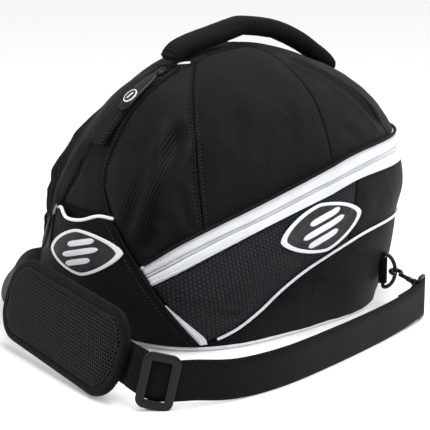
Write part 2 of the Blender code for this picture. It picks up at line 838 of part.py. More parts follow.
badge("pocket_emblem", POCKET_BADGE_WIDTH, POCKET_BADGE_HEIGHT, pocket_seat, HARD_PLASTIC)

SIDE_BADGE_LEVEL, SIDE_BADGE_ALONG = 0.385, -0.010
slope = math.radians(SIDE_BADGE_SLOPE)


def side_seat(side):
    def seat(p, q):
        y = REAR * SIDE_BADGE_ALONG + p * math.cos(slope) - q * math.sin(slope)
        z = HEIGHT * SIDE_BADGE_LEVEL + p * math.sin(slope) + q * math.cos(slope)
        point = skin_along((0, y, z), (side, 0, 0))
        normal = outward(point)
        return point + normal * (CLEAR - fold_at(point)), normal
    return seat


for label, side in SIDES:
    badge(f"side_emblem_{label}", SIDE_BADGE_WIDTH, SIDE_BADGE_HEIGHT, side_seat(side), HARD_PLASTIC)

# Main zip: the flap that stands over it, its slider and its long pull


def flap_top(lean):
    """How high the flap's upper face stands over the strip."""
    open_share = (FLAP_TO - lean) / (FLAP_TO - FLAP_FROM)
    return CLEAR + FLAP_THICK + FLAP_LIFT * max(open_share, 0.0) ** 1.3


flap_rows, flap_lifts = [], []
for lean in spread(FLAP_FROM, FLAP_TO, 8):
    flap_rows.append([strip_point(FLAP_WIDTH / 2 * k / 2, lean) for k in (-2, -1, 0, 1, 2)])
    flap_lifts.append([flap_top(lean)] * 5)
shell("zip_flap", flap_rows, FLAP_THICK, BLACK_CLOTH, flap_lifts)


def bar(name, spine, material, sides=10, power=2.6):
    """A solid bar of rounded section; each place of its spine has its half width and half height."""
    sections = []
    for middle, across, up in spine:
        section = []
        for j in range(sides):
            turn = 2 * math.pi * (j + 0.5) / sides
            c, s = math.cos(turn), math.sin(turn)
            reach = (abs(c) ** power + abs(s) ** power) ** (-1 / power)
            section.append(middle + across * (c * reach) + up * (s * reach))
        sections.append(section)
    return loft(name, sections, material)


X_AXIS = np.array((1.0, 0.0, 0.0))


def along_strip(x, lean, width, low, high):
    """A place of a bar lying along the strip, between two heights over it."""
    point = strip_point(x, lean)
    normal = outward(point)
    across = np.cross(np.cross(normal, X_AXIS), normal)
    return point + normal * (low + high) / 2, across * width / 2, normal * (high - low) / 2


puller_to = FLAP_TO - PULLER_LEAD
Swell = namedtuple("Swell", "share width")
PULLER_SHAPE = (
    Swell(0.00, 0.45), Swell(0.05, 0.74), Swell(0.16, 1.00), Swell(0.50, 1.00), Swell(0.80, 0.86),
    Swell(0.93, 0.62), Swell(1.00, 0.44),
)


def puller_x(share):
    return PULLER_SWAY * (2.2 - 1.2 * share)


spine = []
for share in (0, 0.05, 0.14, 0.28, 0.45, 0.62, 0.78, 0.90, 1.0):
    lean = PULLER_FROM + (puller_to - PULLER_FROM) * share
    width = PULLER_WIDTH * float(smooth(PULLER_SHAPE, share)[0])
    base = flap_top(lean) + CLEAR
    spine.append(along_strip(puller_x(share), lean, width, base, base + PULLER_THICK))
bar("main_puller", spine, RUBBER)

spine = []
for share in (0, 0.1, 0.3, 0.5, 0.7, 0.9, 1.0):
    along = 0.30 + PULLER_BADGE_SHARE * (share - 0.5)
    lean = PULLER_FROM + (puller_to - PULLER_FROM) * along
    base = flap_top(lean) + CLEAR + PULLER_THICK + CLEAR
    width = PULLER_WIDTH * 0.6 * max(math.sqrt(1 - (2 * share - 1) ** 2), 0.4)
    spine.append(along_strip(puller_x(along), lean, width, base, base + BADGE_THICK))
bar("puller_badge", spine, WHITE_TRIM, sides=8)

SLIDER_SHAPE = (
    Swell(0.0, 0.70), Swell(0.2, 1.0), Swell(0.5, 0.85), Swell(0.8, 1.0), Swell(1.0, 0.60),
)
slider_from = FLAP_TO + PULLER_LEAD
spine = []
for share in spread(0, 1, 6):
    lean = slider_from + SLIDER_SPAN * share
    size = float(smooth(SLIDER_SHAPE, share)[0])
    spine.append(
        along_strip(PULLER_SWAY, lean, SLIDER_WIDTH * size, CLEAR, CLEAR + SLIDER_HEIGHT * size)
    )
bar("main_slider", spine, HARD_PLASTIC)

# The pocket zip's slider at the rim's far peak, with its two hanging pulls

SLIDER_ACROSS = 0.05
peak = pocket_place(SLIDER_ACROSS, rim_at(SLIDER_ACROSS))
ring_wire = SMALL_SLIDER * 0.26
ring_stand = PIPING / 2 - POCKET_WALL / 2 + 4 * CLEAR + ring_wire / 2
slider_ring = []
for turn in spread(0, 2 * math.pi, 8)[:-1]:
    x = peak[0] + math.cos(turn) * SMALL_SLIDER / 2
    z = peak[2] + math.sin(turn) * SMALL_SLIDER / 2
    face, normal = pocket_face(x, z)
    slider_ring.append(face + normal * ring_stand)
cord("pocket_slider", slider_ring, ring_wire, GREY_METAL, ring=True)

DROP_SHAPE = (Swell(0.0, 0.30), Swell(0.15, 0.42), Swell(0.6, 1.0), Swell(0.85, 0.90), Swell(1.0, 0.45))
ring_low = slider_ring[6]
DROP_HALF = 0.0013
for letter, sway, level in (("a", -0.06, 0), ("b", -0.36, 1)):
    spine = []
    for share in (0, 0.15, 0.35, 0.55, 0.75, 0.9, 1.0):
        x = ring_low[0] + sway * SMALL_PULLER * share
        z = ring_low[2] - ring_wire / 2 - 4 * CLEAR - SMALL_PULLER * share
        face, normal = pocket_face(x, z)
        across = np.cross(normal, (0, 0, 1.0))
        width = SMALL_PULLER_WIDTH * float(smooth(DROP_SHAPE, share)[0])
        stand = 2 * CLEAR + DROP_HALF + level * (2 * DROP_HALF + CLEAR)
        spine.append((face + normal * stand, across * width / 2, normal * DROP_HALF))
    bar(f"pocket_puller_{letter}", spine, RUBBER, sides=8)

# Handle along the roof, on two sewn feet


def roof(along, x=0.0):
    """The skin over a place along the middle plane, and its normal there."""
    point = skin_along((x, along, CORE[2]), (0, 0, 1))
    return point, outward(point)


for label, first, last in FOOT_SPANS:
    rows = []
    for along in spread(REAR * first, REAR * last, 4):
        rows.append([roof(along, FOOT_WIDTH / 2 * k / 2)[0] for k in (-2, -1, 0, 1, 2)])
    shell(f"handle_foot_{label}", rows, FOOT_THICK, BLACK_CLOTH, CLEAR + FOOT_THICK)

spine = []
for along in spread(HANDLE_LINE[0].along, HANDLE_LINE[-1].along, 17):
    gap, thick = smooth(HANDLE_LINE, along)
    point, normal = roof(REAR * along)
    normal = np.array((0, normal[1], normal[2])) / np.linalg.norm(normal[1:])
    low = 3 * CLEAR + FOOT_THICK + HANDLE_GAP * max(gap, 0.0)
    half = HANDLE_THICK * thick / 2
    width = HANDLE_WIDTH * (0.86 + 0.14 * thick)
    spine.append((point + normal * (low + half), X_AXIS * width / 2, normal * half))
bar("handle_grip", spine, BLACK_CLOTH, sides=12, power=2.8)

# Strap: at each side a sewn tab, a D-ring, a snap hook and the strap's own ring


def flat_unit(x, y):
    way = np.array((x, y, 0.0))
    return way / np.linalg.norm(way)


UP = np.array((0.0, 0.0, 1.0))
web_turn = RING_WIRE / 2 + CLEAR + WEB_THICK / 2


def ribbon(name, places, width, thickness, material):
    """A flat band through places, each with its middle, the way across it and its normal."""
    sections = []
    for middle, across, normal in places:
        a, n = across * width / 2, normal * thickness / 2
        sections.append([middle - a - n, middle + a - n, middle + a + n, middle - a + n])
    return loft(name, sections, material)


def ring_metal(label, side):
    """The tab, D-ring, hook and strap ring of one side; returns the strap ring's two bars."""
    seat = wall_point(side * RING_ANGLE, RING_HEIGHT)
    normal = outward(seat)
    out = flat_unit(normal[0], normal[1])
    along = np.cross(UP, out)
    tab_ends = [(seat[2] + TAB_WIDTH / 2 * k) / HEIGHT for k in (-1, 1)]
    seat = seat + out * max((wall_point(side * RING_ANGLE, h) - seat) @ out for h in tab_ends)
    off = RING_WIRE / 2 + CLEAR + TAB_THICK / 2
    bar_at = off + TAB_THICK / 2 + 3 * CLEAR
    places = []
    for reach, turn in [(2 * CLEAR, -90)] + [(bar_at, t) for t in range(-90, 91, 30)] + [(2 * CLEAR, 90)]:
        c, s = math.cos(math.radians(turn)), math.sin(math.radians(turn))
        middle = seat + out * (reach + (off * c if reach == bar_at else 0)) + along * off * s
        places.append((middle, UP, out * c + along * s))
    ribbon(f"ring_tab_{label}", places, TAB_WIDTH, TAB_THICK, WEBBING)

    bar_middle = seat + out * bar_at
    bow = [bar_middle - UP * D_RING_HALF * k for k in (0.95, 0.5, 0.0, -0.5, -0.95)]
    for turn in spread(74, -74, 9):
        c, s = math.cos(math.radians(turn)), math.sin(math.radians(turn))
        bow.append(bar_middle + out * D_RING_REACH * c + UP * D_RING_HALF * s)
    cord(f"d_ring_{label}", bow, RING_WIRE, BLACK_METAL, ring=True)

    eye = bar_middle + out * D_RING_REACH
    near_bar = np.array((
        side * HALF_WIDTH * STRAP_RING_PLACE[0], FRONT * STRAP_RING_PLACE[1], HEIGHT * STRAP_RING_HEIGHT
    ))
    way = (near_bar - eye) / np.linalg.norm(near_bar - eye)
    sideways = np.cross(UP, way)
    sideways /= np.linalg.norm(sideways)
    loop = RING_WIRE / 2 + HOOK_WIRE / 2 + CLEAR + HOOK_PLAY
    middle = eye + way * HOOK_PLAY
    reach = np.linalg.norm(near_bar - middle) - RING_WIRE / 2 - 3 * CLEAR
    shank = [middle + way * (loop + (reach - loop) * k) for k in (1.0, 0.62, 0.60, 0.35, 0.33)]
    hook = shank + [
        middle + way * loop * math.cos(t) + sideways * loop * math.sin(t)
        for t in map(math.radians, spread(0, 300, 11))
    ]
    thing = cord(f"snap_hook_{label}", hook, HOOK_WIRE, BLACK_METAL)
    for k, size in enumerate((1.7, 1.7, 1.1, 1.1, 1.0)):
        thing.data.splines[0].points[k].radius = size

    first = (STRAP_NEAR if side > 0 else STRAP_FAR)[0]
    ahead = flat_unit(HALF_WIDTH * first.x - near_bar[0], FRONT * first.y - near_bar[1])
    low = CLEAR + RING_WIRE / 2
    high = low + RING_WIRE + WEB_WIDTH + 4 * CLEAR
    inner = np.array((near_bar[0], near_bar[1], 0.0))
    outer = inner + ahead * STRAP_RING_DEPTH
    corner = RING_WIRE * 0.45
    loop_points = []
    for base, direction in ((inner, 1), (outer, -1)):
        steps = [low + corner, (2 * low + high) / 3, (low + 2 * high) / 3, high - corner]
        for z in steps[::direction]:
            loop_points.append(base + UP * z)
        top = high if direction > 0 else low
        loop_points.append(base + UP * top + ahead * corner * direction)
        loop_points.append(base + UP * top + ahead * (STRAP_RING_DEPTH - corner) * direction)
    cord(f"strap_ring_{label}", loop_points, RING_WIRE, BLACK_METAL, ring=True)
    return outer, ahead


near_bar, near_ahead = ring_metal("near", 1)
far_bar, far_ahead = ring_metal("far", -1)

# Shoulder pad, with its bound edge, and the frame that it lies in

yaw, pitch, pad_lean = math.radians(PAD_YAW), math.radians(PAD_PITCH), math.radians(PAD_LEAN)
pad_long = np.array((math.cos(yaw) * math.cos(pitch), math.sin(yaw) * math.cos(pitch), math.sin(pitch)))
pad_back = np.array((-math.sin(yaw), math.cos(yaw), 0.0))
pad_up = np.cross(pad_long, pad_back) * math.cos(pad_lean) + pad_back * math.sin(pad_lean)
pad_front = np.cross(pad_long, pad_up)
pad_drop = (PAD_LENGTH / 2 - PAD_CORNER) * abs(pad_long[2]) + PAD_BINDING / 2 * math.sin(pad_lean)
pad_middle = np.array((
    HALF_WIDTH * PAD_PLACE[0], FRONT * PAD_PLACE[1], 2 * CLEAR + PAD_WIDTH / 2 * pad_up[2] + pad_drop
))


def pad_outline(inset, turn_steps=6):
    """The pad's rounded outline, drawn in by a distance, as places along and across it."""
    long, wide = PAD_LENGTH / 2 - inset, PAD_WIDTH / 2 - inset
    corner = PAD_CORNER - inset
    points = []
    for k, (a, b) in enumerate(((1, 1), (-1, 1), (-1, -1), (1, -1))):
        for turn in spread(90 * k, 90 * k + 90, turn_steps - 1):
            c, s = math.cos(math.radians(turn)), math.sin(math.radians(turn))
            points.append((a * (long - corner) + corner * c, b * (wide - corner) + corner * s))
    return points


def pad_point(along, across, out):
    return pad_middle + pad_long * along + pad_up * across + pad_front * out


edge_inset = PAD_BINDING + CLEAR
work = bmesh.new()
outlines = []
for front in (1, -1):
    rings = []
    for inset, height in ((0.0, PAD_EDGE), (0.005, 0.8), (0.014, 0.95), (0.026, 1.0)):
        half = front * (PAD_EDGE / 2 if inset == 0 else PAD_THICK / 2 * height)
        rings.append([work.verts.new(pad_point(a, b, half)) for a, b in pad_outline(edge_inset + inset)])
    count = len(rings[0])
    for outer, inner in zip(rings, rings[1:]):
        for j in range(count):
            k = (j + 1) % count
            work.faces.new((outer[j], outer[k], inner[k], inner[j]))
    work.faces.new(rings[-1])
    outlines.append(rings[0])
for j in range(count):
    k = (j + 1) % count
    work.faces.new((outlines[0][j], outlines[1][j], outlines[1][k], outlines[0][k]))
solid("shoulder_pad", work, MESH_CLOTH)
cord(
    "pad_binding",
    [pad_point(a, b, 0.0) for a, b in pad_outline(PAD_BINDING / 2)],
    PAD_BINDING, BLACK_CLOTH, ring=True,
)

# The strap itself, from one ring behind the pad to the other

RoutePlace = namedtuple("RoutePlace", "step x y z lean")


def strap_level(lean, rise):
    """The height of the webbing's middle when its lower edge stands on the floor or above it."""
    turn = math.radians(lean)
    return CLEAR + WEB_WIDTH * (rise + math.cos(turn) / 2) + WEB_THICK / 2 * math.sin(turn)


def route_rows(start, table, rest):
    """The route as a table to be smoothed, from a ring's bar through a table's places."""
    rows = [start]
    for place in table:
        level = strap_level(place.lean, place.rise)
        rows.append((HALF_WIDTH * place.x, FRONT * place.y, level, place.lean))
    rows += rest
    return [RoutePlace(step, *row) for step, row in enumerate(rows)]


ring_level = CLEAR + RING_WIRE + 2 * CLEAR + WEB_WIDTH / 2
glide_level = CLEAR + GLIDE_HEIGHT / 2
pad_hold = PAD_THICK / 2 + CLEAR + WEB_THICK / 2


def behind_pad(share):
    """The strap's middle behind the pad, at a share of its length from its middle."""
    return pad_point(PAD_LENGTH * share, 0.0, -pad_hold)


def turned(share):
    return (*behind_pad(share), PAD_LEAN)


BEHIND_PAD = (0.54, 0.48, 0.20)
near_side = near_bar - np.cross(near_ahead, UP) * web_turn
far_side = far_bar + np.cross(far_ahead, UP) * web_turn
glide_row = (HALF_WIDTH * GLIDE_PLACE[0], FRONT * GLIDE_PLACE[1], glide_level, PAD_LEAN * 0.15)
near_route = route_rows(
    (near_side[0], near_side[1], ring_level, 0.0), STRAP_NEAR,
    [glide_row] + [turned(share) for share in BEHIND_PAD],
)
far_route = route_rows(
    (far_side[0], far_side[1], ring_level, 0.0), STRAP_FAR,
    [turned(-share) for share in BEHIND_PAD],
)


def sampled(rows, each):
    """Middles along a route, with the way across the webbing and its normal away from the bag."""
    steps = spread(0, rows[-1].step, each * rows[-1].step)
    places = []
    for step in steps:
        values = smooth(rows, step)
        ahead = smooth(rows, min(step + 0.05, rows[-1].step))[:3] - smooth(rows, max(step - 0.05, 0))[:3]
        ahead /= np.linalg.norm(ahead)
        away = np.cross(ahead, UP)
        away /= np.linalg.norm(away)
        away *= 1 if away[:2] @ (values[:2] - CORE[:2]) > 0 else -1
        turn = math.radians(values[3])
        across = UP * math.cos(turn) - away * math.sin(turn)
        across -= ahead * (across @ ahead)
        across /= np.linalg.norm(across)
        normal = np.cross(across, ahead)
        normal *= 1 if normal @ away > 0 else -1
        places.append((values[:3], across, normal))
    return places


ROUTE_STEPS = 2
near_places = sampled(near_route, ROUTE_STEPS)
far_places = sampled(far_route, ROUTE_STEPS)


def wrap(bar_at, ahead, side):
    """The webbing's turn round a ring's bar, from the outer layer to the inner one."""
    outwards = np.cross(ahead, UP) * side
    places = []
    for turn in range(30, 181, 30):
        c, s = math.cos(math.radians(turn)), math.sin(math.radians(turn))
        normal = outwards * c - ahead * s
        places.append((bar_at + UP * ring_level + normal * web_turn, UP, normal))
    return places


SEWN_LAYER = 0.045


def inner_layer(places, length):
    """The webbing's second layer, inside the first, from its turn at the ring to its end."""
    layer, gone, last = [], 0.0, None
    for middle, across, normal in places[1:]:
        gone += np.linalg.norm(middle - last) if last is not None else 0.0
        last = middle
        apart = max(2 * web_turn * (1 - gone / 0.03), WEB_THICK + 2 * CLEAR)
        layer.append((middle - normal * apart, across, -normal))
        if gone > length:
            break
    return layer


whole = inner_layer(far_places, SEWN_LAYER)[::-1]
whole += wrap(far_bar, far_ahead, 1)[::-1]
whole += far_places
whole += near_places[::-1]
whole += wrap(near_bar, near_ahead, -1)
whole += inner_layer(near_places, SEWN_LAYER)
ribbon("shoulder_strap", whole, WEB_WIDTH, WEB_THICK, WEBBING)

# Tri-glide: a frame before the webbing, and behind it the bar that holds the sewn end

at_glide = ROUTE_STEPS * near_route[-1 - len(BEHIND_PAD)].step
glide_middle, glide_up, glide_out = near_places[at_glide]
glide_along = np.cross(glide_up, glide_out)


def glide_box(name, along, up, out):
    """A box in the tri-glide's own frame, each way given by its two ends."""
    corners = [(a, b) for a, b in ((0, 0), (1, 0), (1, 1), (0, 1))]
    sections = []
    for end in out:
        sections.append([
            glide_middle + glide_along * along[a] + glide_up * up[b] + glide_out * end
            for a, b in corners
        ])
    return loft(name, sections, HARD_PLASTIC)


half_long, half_tall = GLIDE_LENGTH / 2, GLIDE_HEIGHT / 2
window_long, window_tall = half_long - GLIDE_FRAME, half_tall - GLIDE_FRAME
web_corners = []
for middle, across, normal in (near_places[at_glide - 1], near_places[at_glide + 1]):
    share = half_long / np.linalg.norm(middle - glide_middle)
    for a, n in ((-1, -1), (1, -1), (1, 1), (-1, 1)):
        a, n = a * WEB_WIDTH / 2, n * WEB_THICK / 2
        at_middle, away = glide_up * a + glide_out * n, middle + across * a + normal * n - glide_middle
        web_corners += [at_middle, at_middle + (away - at_middle) * share]
web_corners = np.array(web_corners)
slot_front = (web_corners @ glide_out).max() + GLIDE_PLAY
slot_back = GLIDE_PLAY - (web_corners @ glide_out).min()
open_height = np.abs(web_corners @ glide_up).max() + GLIDE_PLAY
front_face = slot_front + GLIDE_THICK
bar_back = slot_back + GLIDE_FRAME * 0.6
glide = glide_box(
    "tri_glide", (-half_long, half_long), (-half_tall, half_tall), (-bar_back, front_face)
)
cutters = bpy.data.collections.new("cutters")
bpy.context.scene.collection.children.link(cutters)
past = 0.002
right, left = (GLIDE_FRAME, half_long + past), (-half_long - past, -GLIDE_FRAME)
whole_height, behind = (-half_tall - past, half_tall + past), (-bar_back - past, 0.0)
GLIDE_CUTS = {
    "window": ((-window_long, window_long), (-window_tall, window_tall), (0.0, front_face + past)),
    "slot": ((-half_long - past, half_long + past), (-open_height, open_height), (-slot_back, slot_front)),
    "back_right": (right, whole_height, behind),
    "back_left": (left, whole_height, behind),
}
for name, (along, up, out) in GLIDE_CUTS.items():
    cutter = glide_box(f"glide_{name}", along, up, out)
    bag.objects.unlink(cutter)
    cutters.objects.link(cutter)
    cutter.hide_render = True
    cutter.display_type = "WIRE"
    cut = glide.modifiers.new(name, "BOOLEAN")
    cut.operation = "DIFFERENCE"
    cut.solver = "EXACT"
    cut.object = cutter
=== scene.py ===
"""The looks of a padded motorcycle helmet bag: black polyester gores over an embossed tub, a white
zip band round both sides and the back, a front pocket, a padded handle and a clipped shoulder strap."""
import functools
import math

import bmesh
import bpy
import numpy as np
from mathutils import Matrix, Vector


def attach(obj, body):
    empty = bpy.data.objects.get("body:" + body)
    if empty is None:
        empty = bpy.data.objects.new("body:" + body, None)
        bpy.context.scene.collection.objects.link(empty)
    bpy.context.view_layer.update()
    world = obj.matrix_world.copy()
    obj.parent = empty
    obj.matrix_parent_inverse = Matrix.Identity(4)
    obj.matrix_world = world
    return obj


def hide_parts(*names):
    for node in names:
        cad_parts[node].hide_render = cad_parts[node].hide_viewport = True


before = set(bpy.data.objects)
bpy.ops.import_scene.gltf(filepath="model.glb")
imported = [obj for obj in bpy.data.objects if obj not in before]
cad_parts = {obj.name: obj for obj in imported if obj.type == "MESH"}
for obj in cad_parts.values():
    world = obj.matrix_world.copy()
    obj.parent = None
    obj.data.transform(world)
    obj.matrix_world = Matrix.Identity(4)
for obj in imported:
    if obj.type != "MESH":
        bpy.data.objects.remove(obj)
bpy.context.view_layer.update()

# Camera: a long lens a little above the bag, off its front near corner.
AIM_LEFT, AIM_UP = 0.00528, 0.06125
camera_place = Vector((1.0660, -0.9598, 0.4386))
ahead = -camera_place.normalized()
sideways = Vector((math.cos(math.radians(48)), math.sin(math.radians(48)), 0.0))
upwards = sideways.cross(ahead)
aim = ahead - AIM_LEFT * sideways + AIM_UP * upwards
lens = bpy.data.cameras.new("long_lens")
lens.lens = 111.0
lens.sensor_fit = "HORIZONTAL"
lens.sensor_width = 36.0


def placed(name, data):
    """An object of some data, put in the scene."""
    thing = bpy.data.objects.new(name, data)
    bpy.context.scene.collection.objects.link(thing)
    return thing


camera = placed("long_lens", lens)
camera.location = camera_place
camera.rotation_euler = aim.to_track_quat("-Z", "Y").to_euler()
bpy.context.scene.camera = camera
bpy.context.scene.view_settings.view_transform = "Standard"

# Studio: a wide white floor, a big soft light over the bag, and weaker ones beside it.
FLOOR_HALF = 7.0
WORLD_GLOW, BACKDROP_EXTRA = 0.60, 0.42


def softbox(name, place, size, power):
    light = bpy.data.lights.new(name, "AREA")
    light.shape = "RECTANGLE"
    light.size, light.size_y = size
    light.energy = power
    thing = placed(name, light)
    thing.location = place
    thing.rotation_euler = (Vector((0, 0, 0.12)) - Vector(place)).to_track_quat("-Z", "Y").to_euler()


softbox("top_softbox", (0.30, 0.10, 1.4), (0.9, 0.9), 13.0)
softbox("front_softbox", (-0.4, -2.0, 1.2), (0.9, 0.9), 16.0)
softbox("side_softbox", (1.7, 1.3, 1.2), (0.6, 0.8), 8.0)
ceiling = bpy.data.lights.new("ceiling_glow", "SUN")
ceiling.energy = 1.35
ceiling.angle = math.radians(70)
glow = placed("ceiling_glow", ceiling)
glow.rotation_euler = Vector((0.15, 0.30, 1.0)).to_track_quat("Z", "Y").to_euler()
world = bpy.data.worlds.new("studio_white")
world.use_nodes = True
world.node_tree.nodes["Background"].inputs["Color"].default_value = (1.0, 1.0, 1.0, 1.0)
seen = world.node_tree.nodes.new("ShaderNodeLightPath").outputs["Is Camera Ray"]
strength = world.node_tree.nodes.new("ShaderNodeMath")
strength.operation = "MULTIPLY_ADD"
strength.inputs[1].default_value = BACKDROP_EXTRA
strength.inputs[2].default_value = WORLD_GLOW
world.node_tree.links.new(seen, strength.inputs[0])
world.node_tree.links.new(strength.outputs[0], world.node_tree.nodes["Background"].inputs["Strength"])
bpy.context.scene.world = world
floor_mesh = bpy.data.meshes.new("studio_floor")
floor_mesh.from_pydata(
    [(FLOOR_HALF * x, FLOOR_HALF * y, 0) for x, y in ((-1, -1), (1, -1), (1, 1), (-1, 1))],
    [], [(0, 1, 2, 3)],
)
floor_paper = bpy.data.materials.new("white_paper")
floor_paper.use_nodes = True
paper = floor_paper.node_tree.nodes["Principled BSDF"]
paper.inputs["Base Color"].default_value = (0.93, 0.93, 0.93, 1.0)
paper.inputs["Roughness"].default_value = 0.7
floor_mesh.materials.append(floor_paper)
studio_floor = placed("studio_floor", floor_mesh)

# Base: a flat floor of black polyester over board, with a white cord sewn round its seam. Its outline,
# like every seam of the bag, lies on one skin, which is drawn over a table of rings.
HEIGHT, HALF_WIDTH, FRONT, REAR = 0.285, 0.156, 0.190, 0.205
WALL, CLEAR, SEAM = 0.003, 0.0003, 0.0006
PIPING, THIN_PIPING = 0.0036, 0.0030
# Station, height, front, rear, width, squareness, narrowing towards the front
RINGS = (
    (0.00, 0.000, 0.93, 0.74, 0.93, 3.2, 0.00),
    (0.16, 0.165, 0.99, 0.83, 0.98, 3.1, 0.03),
    (0.32, 0.345, 1.00, 0.93, 1.00, 2.9, 0.11),
    (0.48, 0.540, 0.96, 1.02, 0.97, 2.6, 0.22),
    (0.62, 0.700, 0.84, 0.97, 0.88, 2.3, 0.30),
    (0.76, 0.850, 0.62, 0.76, 0.69, 2.1, 0.33),
    (0.89, 0.958, 0.27, 0.40, 0.36, 2.0, 0.28),
    (1.00, 1.000, -0.13, 0.13, 0.00, 2.0, 0.20),
)
CORE = np.array((0.0, 0.010, 0.40 * HEIGHT))
BASE_LEVEL = (WALL + CLEAR) / HEIGHT


def smooth(rows, at):
    """All the columns of a table after its first, on one smooth curve through its rows."""
    rows = np.asarray(rows, float)
    knots, values = rows[:, 0], rows[:, 1:]
    at = np.clip(np.asarray(at, float), knots[0], knots[-1])
    low = np.clip(np.searchsorted(knots, at, side="right") - 1, 0, len(knots) - 2)
    step = (knots[low + 1] - knots[low])[..., None]
    u = ((at - knots[low]) / (knots[low + 1] - knots[low]))[..., None]
    before, after = np.maximum(low - 1, 0), np.minimum(low + 2, len(knots) - 1)
    leave = (values[low + 1] - values[before]) / (knots[low + 1] - knots[before])[..., None]
    reach = (values[after] - values[low]) / (knots[after] - knots[low])[..., None]
    return (
        (2 * u**3 - 3 * u**2 + 1) * values[low]
        + (u**3 - 2 * u**2 + u) * step * leave
        + (3 * u**2 - 2 * u**3) * values[low + 1]
        + (u**3 - u**2) * step * reach
    )


stations = np.linspace(0.0, 1.0, 501)
ring_table = smooth(RINGS, stations)


def ring_at(height):
    station = np.interp(np.clip(height, 0.0, 1.0), ring_table[:, 0], stations)
    return [np.interp(station, stations, ring_table[:, k]) for k in range(1, 6)]


def unit(vectors):
    """The same directions at length one."""
    return vectors / np.linalg.norm(vectors, axis=-1, keepdims=True)


def depth_of(front, rear):
    """The middle and half the depth of a ring."""
    return (REAR * rear - FRONT * front) / 2, (REAR * rear + FRONT * front) / 2


def stacked(x, y, z):
    """Points from their coordinates, each an array or a number."""
    return np.stack(np.broadcast_arrays(*(np.asarray(v, float) for v in (x, y, z))), -1)


def fullness(points):
    """1 on the skin, less inside the bag and more outside it."""
    x, y, z = points[..., 0], points[..., 1], points[..., 2]
    front, rear, width, squareness, taper = ring_at(z / HEIGHT)
    middle, half = depth_of(front, rear)
    v = (y - middle) / np.maximum(half, 1e-6)
    narrow = np.maximum(1 - taper * np.maximum(0.0, -v), 0.05)
    u = x / np.maximum(HALF_WIDTH * width * narrow, 1e-6)
    inside = (np.abs(u) ** squareness + np.abs(v) ** squareness) ** (1 / squareness)
    return np.where(z >= HEIGHT, 2.0, inside)


def skin_along(origin, way):
    """Where rays from inside the bag meet its skin."""
    origin, way = np.broadcast_arrays(np.asarray(origin, float), np.asarray(way, float))
    way = unit(way)
    near, far = np.zeros(way.shape[:-1]), np.full(way.shape[:-1], 2 * (FRONT + REAR))
    for _ in range(30):
        middle = (near + far) / 2
        within = fullness(origin + way * middle[..., None]) < 1
        near, far = np.where(within, middle, near), np.where(within, far, middle)
    return origin + way * near[..., None]


def wall_points(angle, height):
    """The skin at angles from the front's middle, towards +X, and height shares."""
    angle, height = np.broadcast_arrays(np.asarray(angle, float), np.asarray(height, float))
    front, rear, width, squareness, taper = ring_at(height)
    across, along = np.sin(np.radians(angle)), -np.cos(np.radians(angle))
    reach = (np.abs(across) ** squareness + np.abs(along) ** squareness) ** (-1 / squareness)
    u, v = across * reach, along * reach
    middle, half = depth_of(front, rear)
    narrow = 1 - taper * np.maximum(0.0, -v)
    return stacked(HALF_WIDTH * width * narrow * u, middle + half * v, HEIGHT * height)


def outward(points):
    """The skin's normals, from four places on the skin round each point."""
    points = np.asarray(points, float)
    way = points - CORE
    reach = np.linalg.norm(way, axis=-1, keepdims=True)
    steep = np.abs(way[..., 2:]) > reach / 2
    first = np.cross(way, np.where(steep, (0.0, 1.0, 0.0), (0.0, 0.0, 1.0)))
    first *= 0.004 / np.linalg.norm(first, axis=-1, keepdims=True)
    second = np.cross(way, first) / reach
    a, b, c, d = (skin_along(CORE, way + step) for step in (first, -first, second, -second))
    normal = np.cross(a - b, c - d)
    return unit(normal * np.sign((normal * way).sum(-1, keepdims=True)))


def tree_math(tree, operation, *values):
    """A Math node in a shader tree, fed with sockets and numbers."""
    node = tree.nodes.new("ShaderNodeMath")
    node.operation = operation
    for socket, value in zip(node.inputs, values):
        if isinstance(value, bpy.types.NodeSocket):
            tree.links.new(value, socket)
        else:
            socket.default_value = value
    return node.outputs[0]


def new_group(name, inputs, outputs):
    """A shader group: its tree, its Math nodes' maker, its inputs and its outputs."""
    tree = bpy.data.node_groups.new(name, "ShaderNodeTree")
    for label, kind in inputs:
        tree.interface.new_socket(label, in_out="INPUT", socket_type=kind)
    for label in outputs:
        tree.interface.new_socket(label, in_out="OUTPUT", socket_type="NodeSocketFloat")
    given, result = tree.nodes.new("NodeGroupInput").outputs, tree.nodes.new("NodeGroupOutput").inputs
    return tree, functools.partial(tree_math, tree), given, result


def turned_steps(tree, vector, slant):
    """The two coordinates of a vector after a turn about Z."""
    turn = tree.nodes.new("ShaderNodeVectorRotate")
    turn.rotation_type = "Z_AXIS"
    tree.links.new(vector, turn.inputs["Vector"])
    tree.links.new(slant, turn.inputs["Angle"])
    split = tree.nodes.new("ShaderNodeSeparateXYZ")
    tree.links.new(turn.outputs[0], split.inputs[0])
    return split.outputs[0], split.outputs[1]


def woven_ribs():
    """Slanted ribs of a weave, each broken into short threads."""
    tree, calc, given, result = new_group(
        "woven_ribs",
        (("Cloth", "NodeSocketVector"), ("Pitch", "NodeSocketFloat"), ("Slant", "NodeSocketFloat")),
        ("Height",),
    )
    x, y = turned_steps(tree, given["Cloth"], given["Slant"])
    ribs = calc("DIVIDE", x, given["Pitch"])
    wave = calc("SINE", calc("MULTIPLY", ribs, 2 * math.pi))
    shift = calc("MULTIPLY", calc("FLOOR", ribs), math.pi)
    steps = calc("DIVIDE", y, calc("MULTIPLY", given["Pitch"], 1.6))
    turn = calc("MULTIPLY_ADD", steps, 2 * math.pi, shift)
    threads = calc("MULTIPLY_ADD", calc("SINE", turn), 0.22, 0.78)
    rib = calc("MULTIPLY_ADD", wave, 0.5, 0.5)
    tree.links.new(calc("MULTIPLY", rib, threads), result["Height"])
    return tree


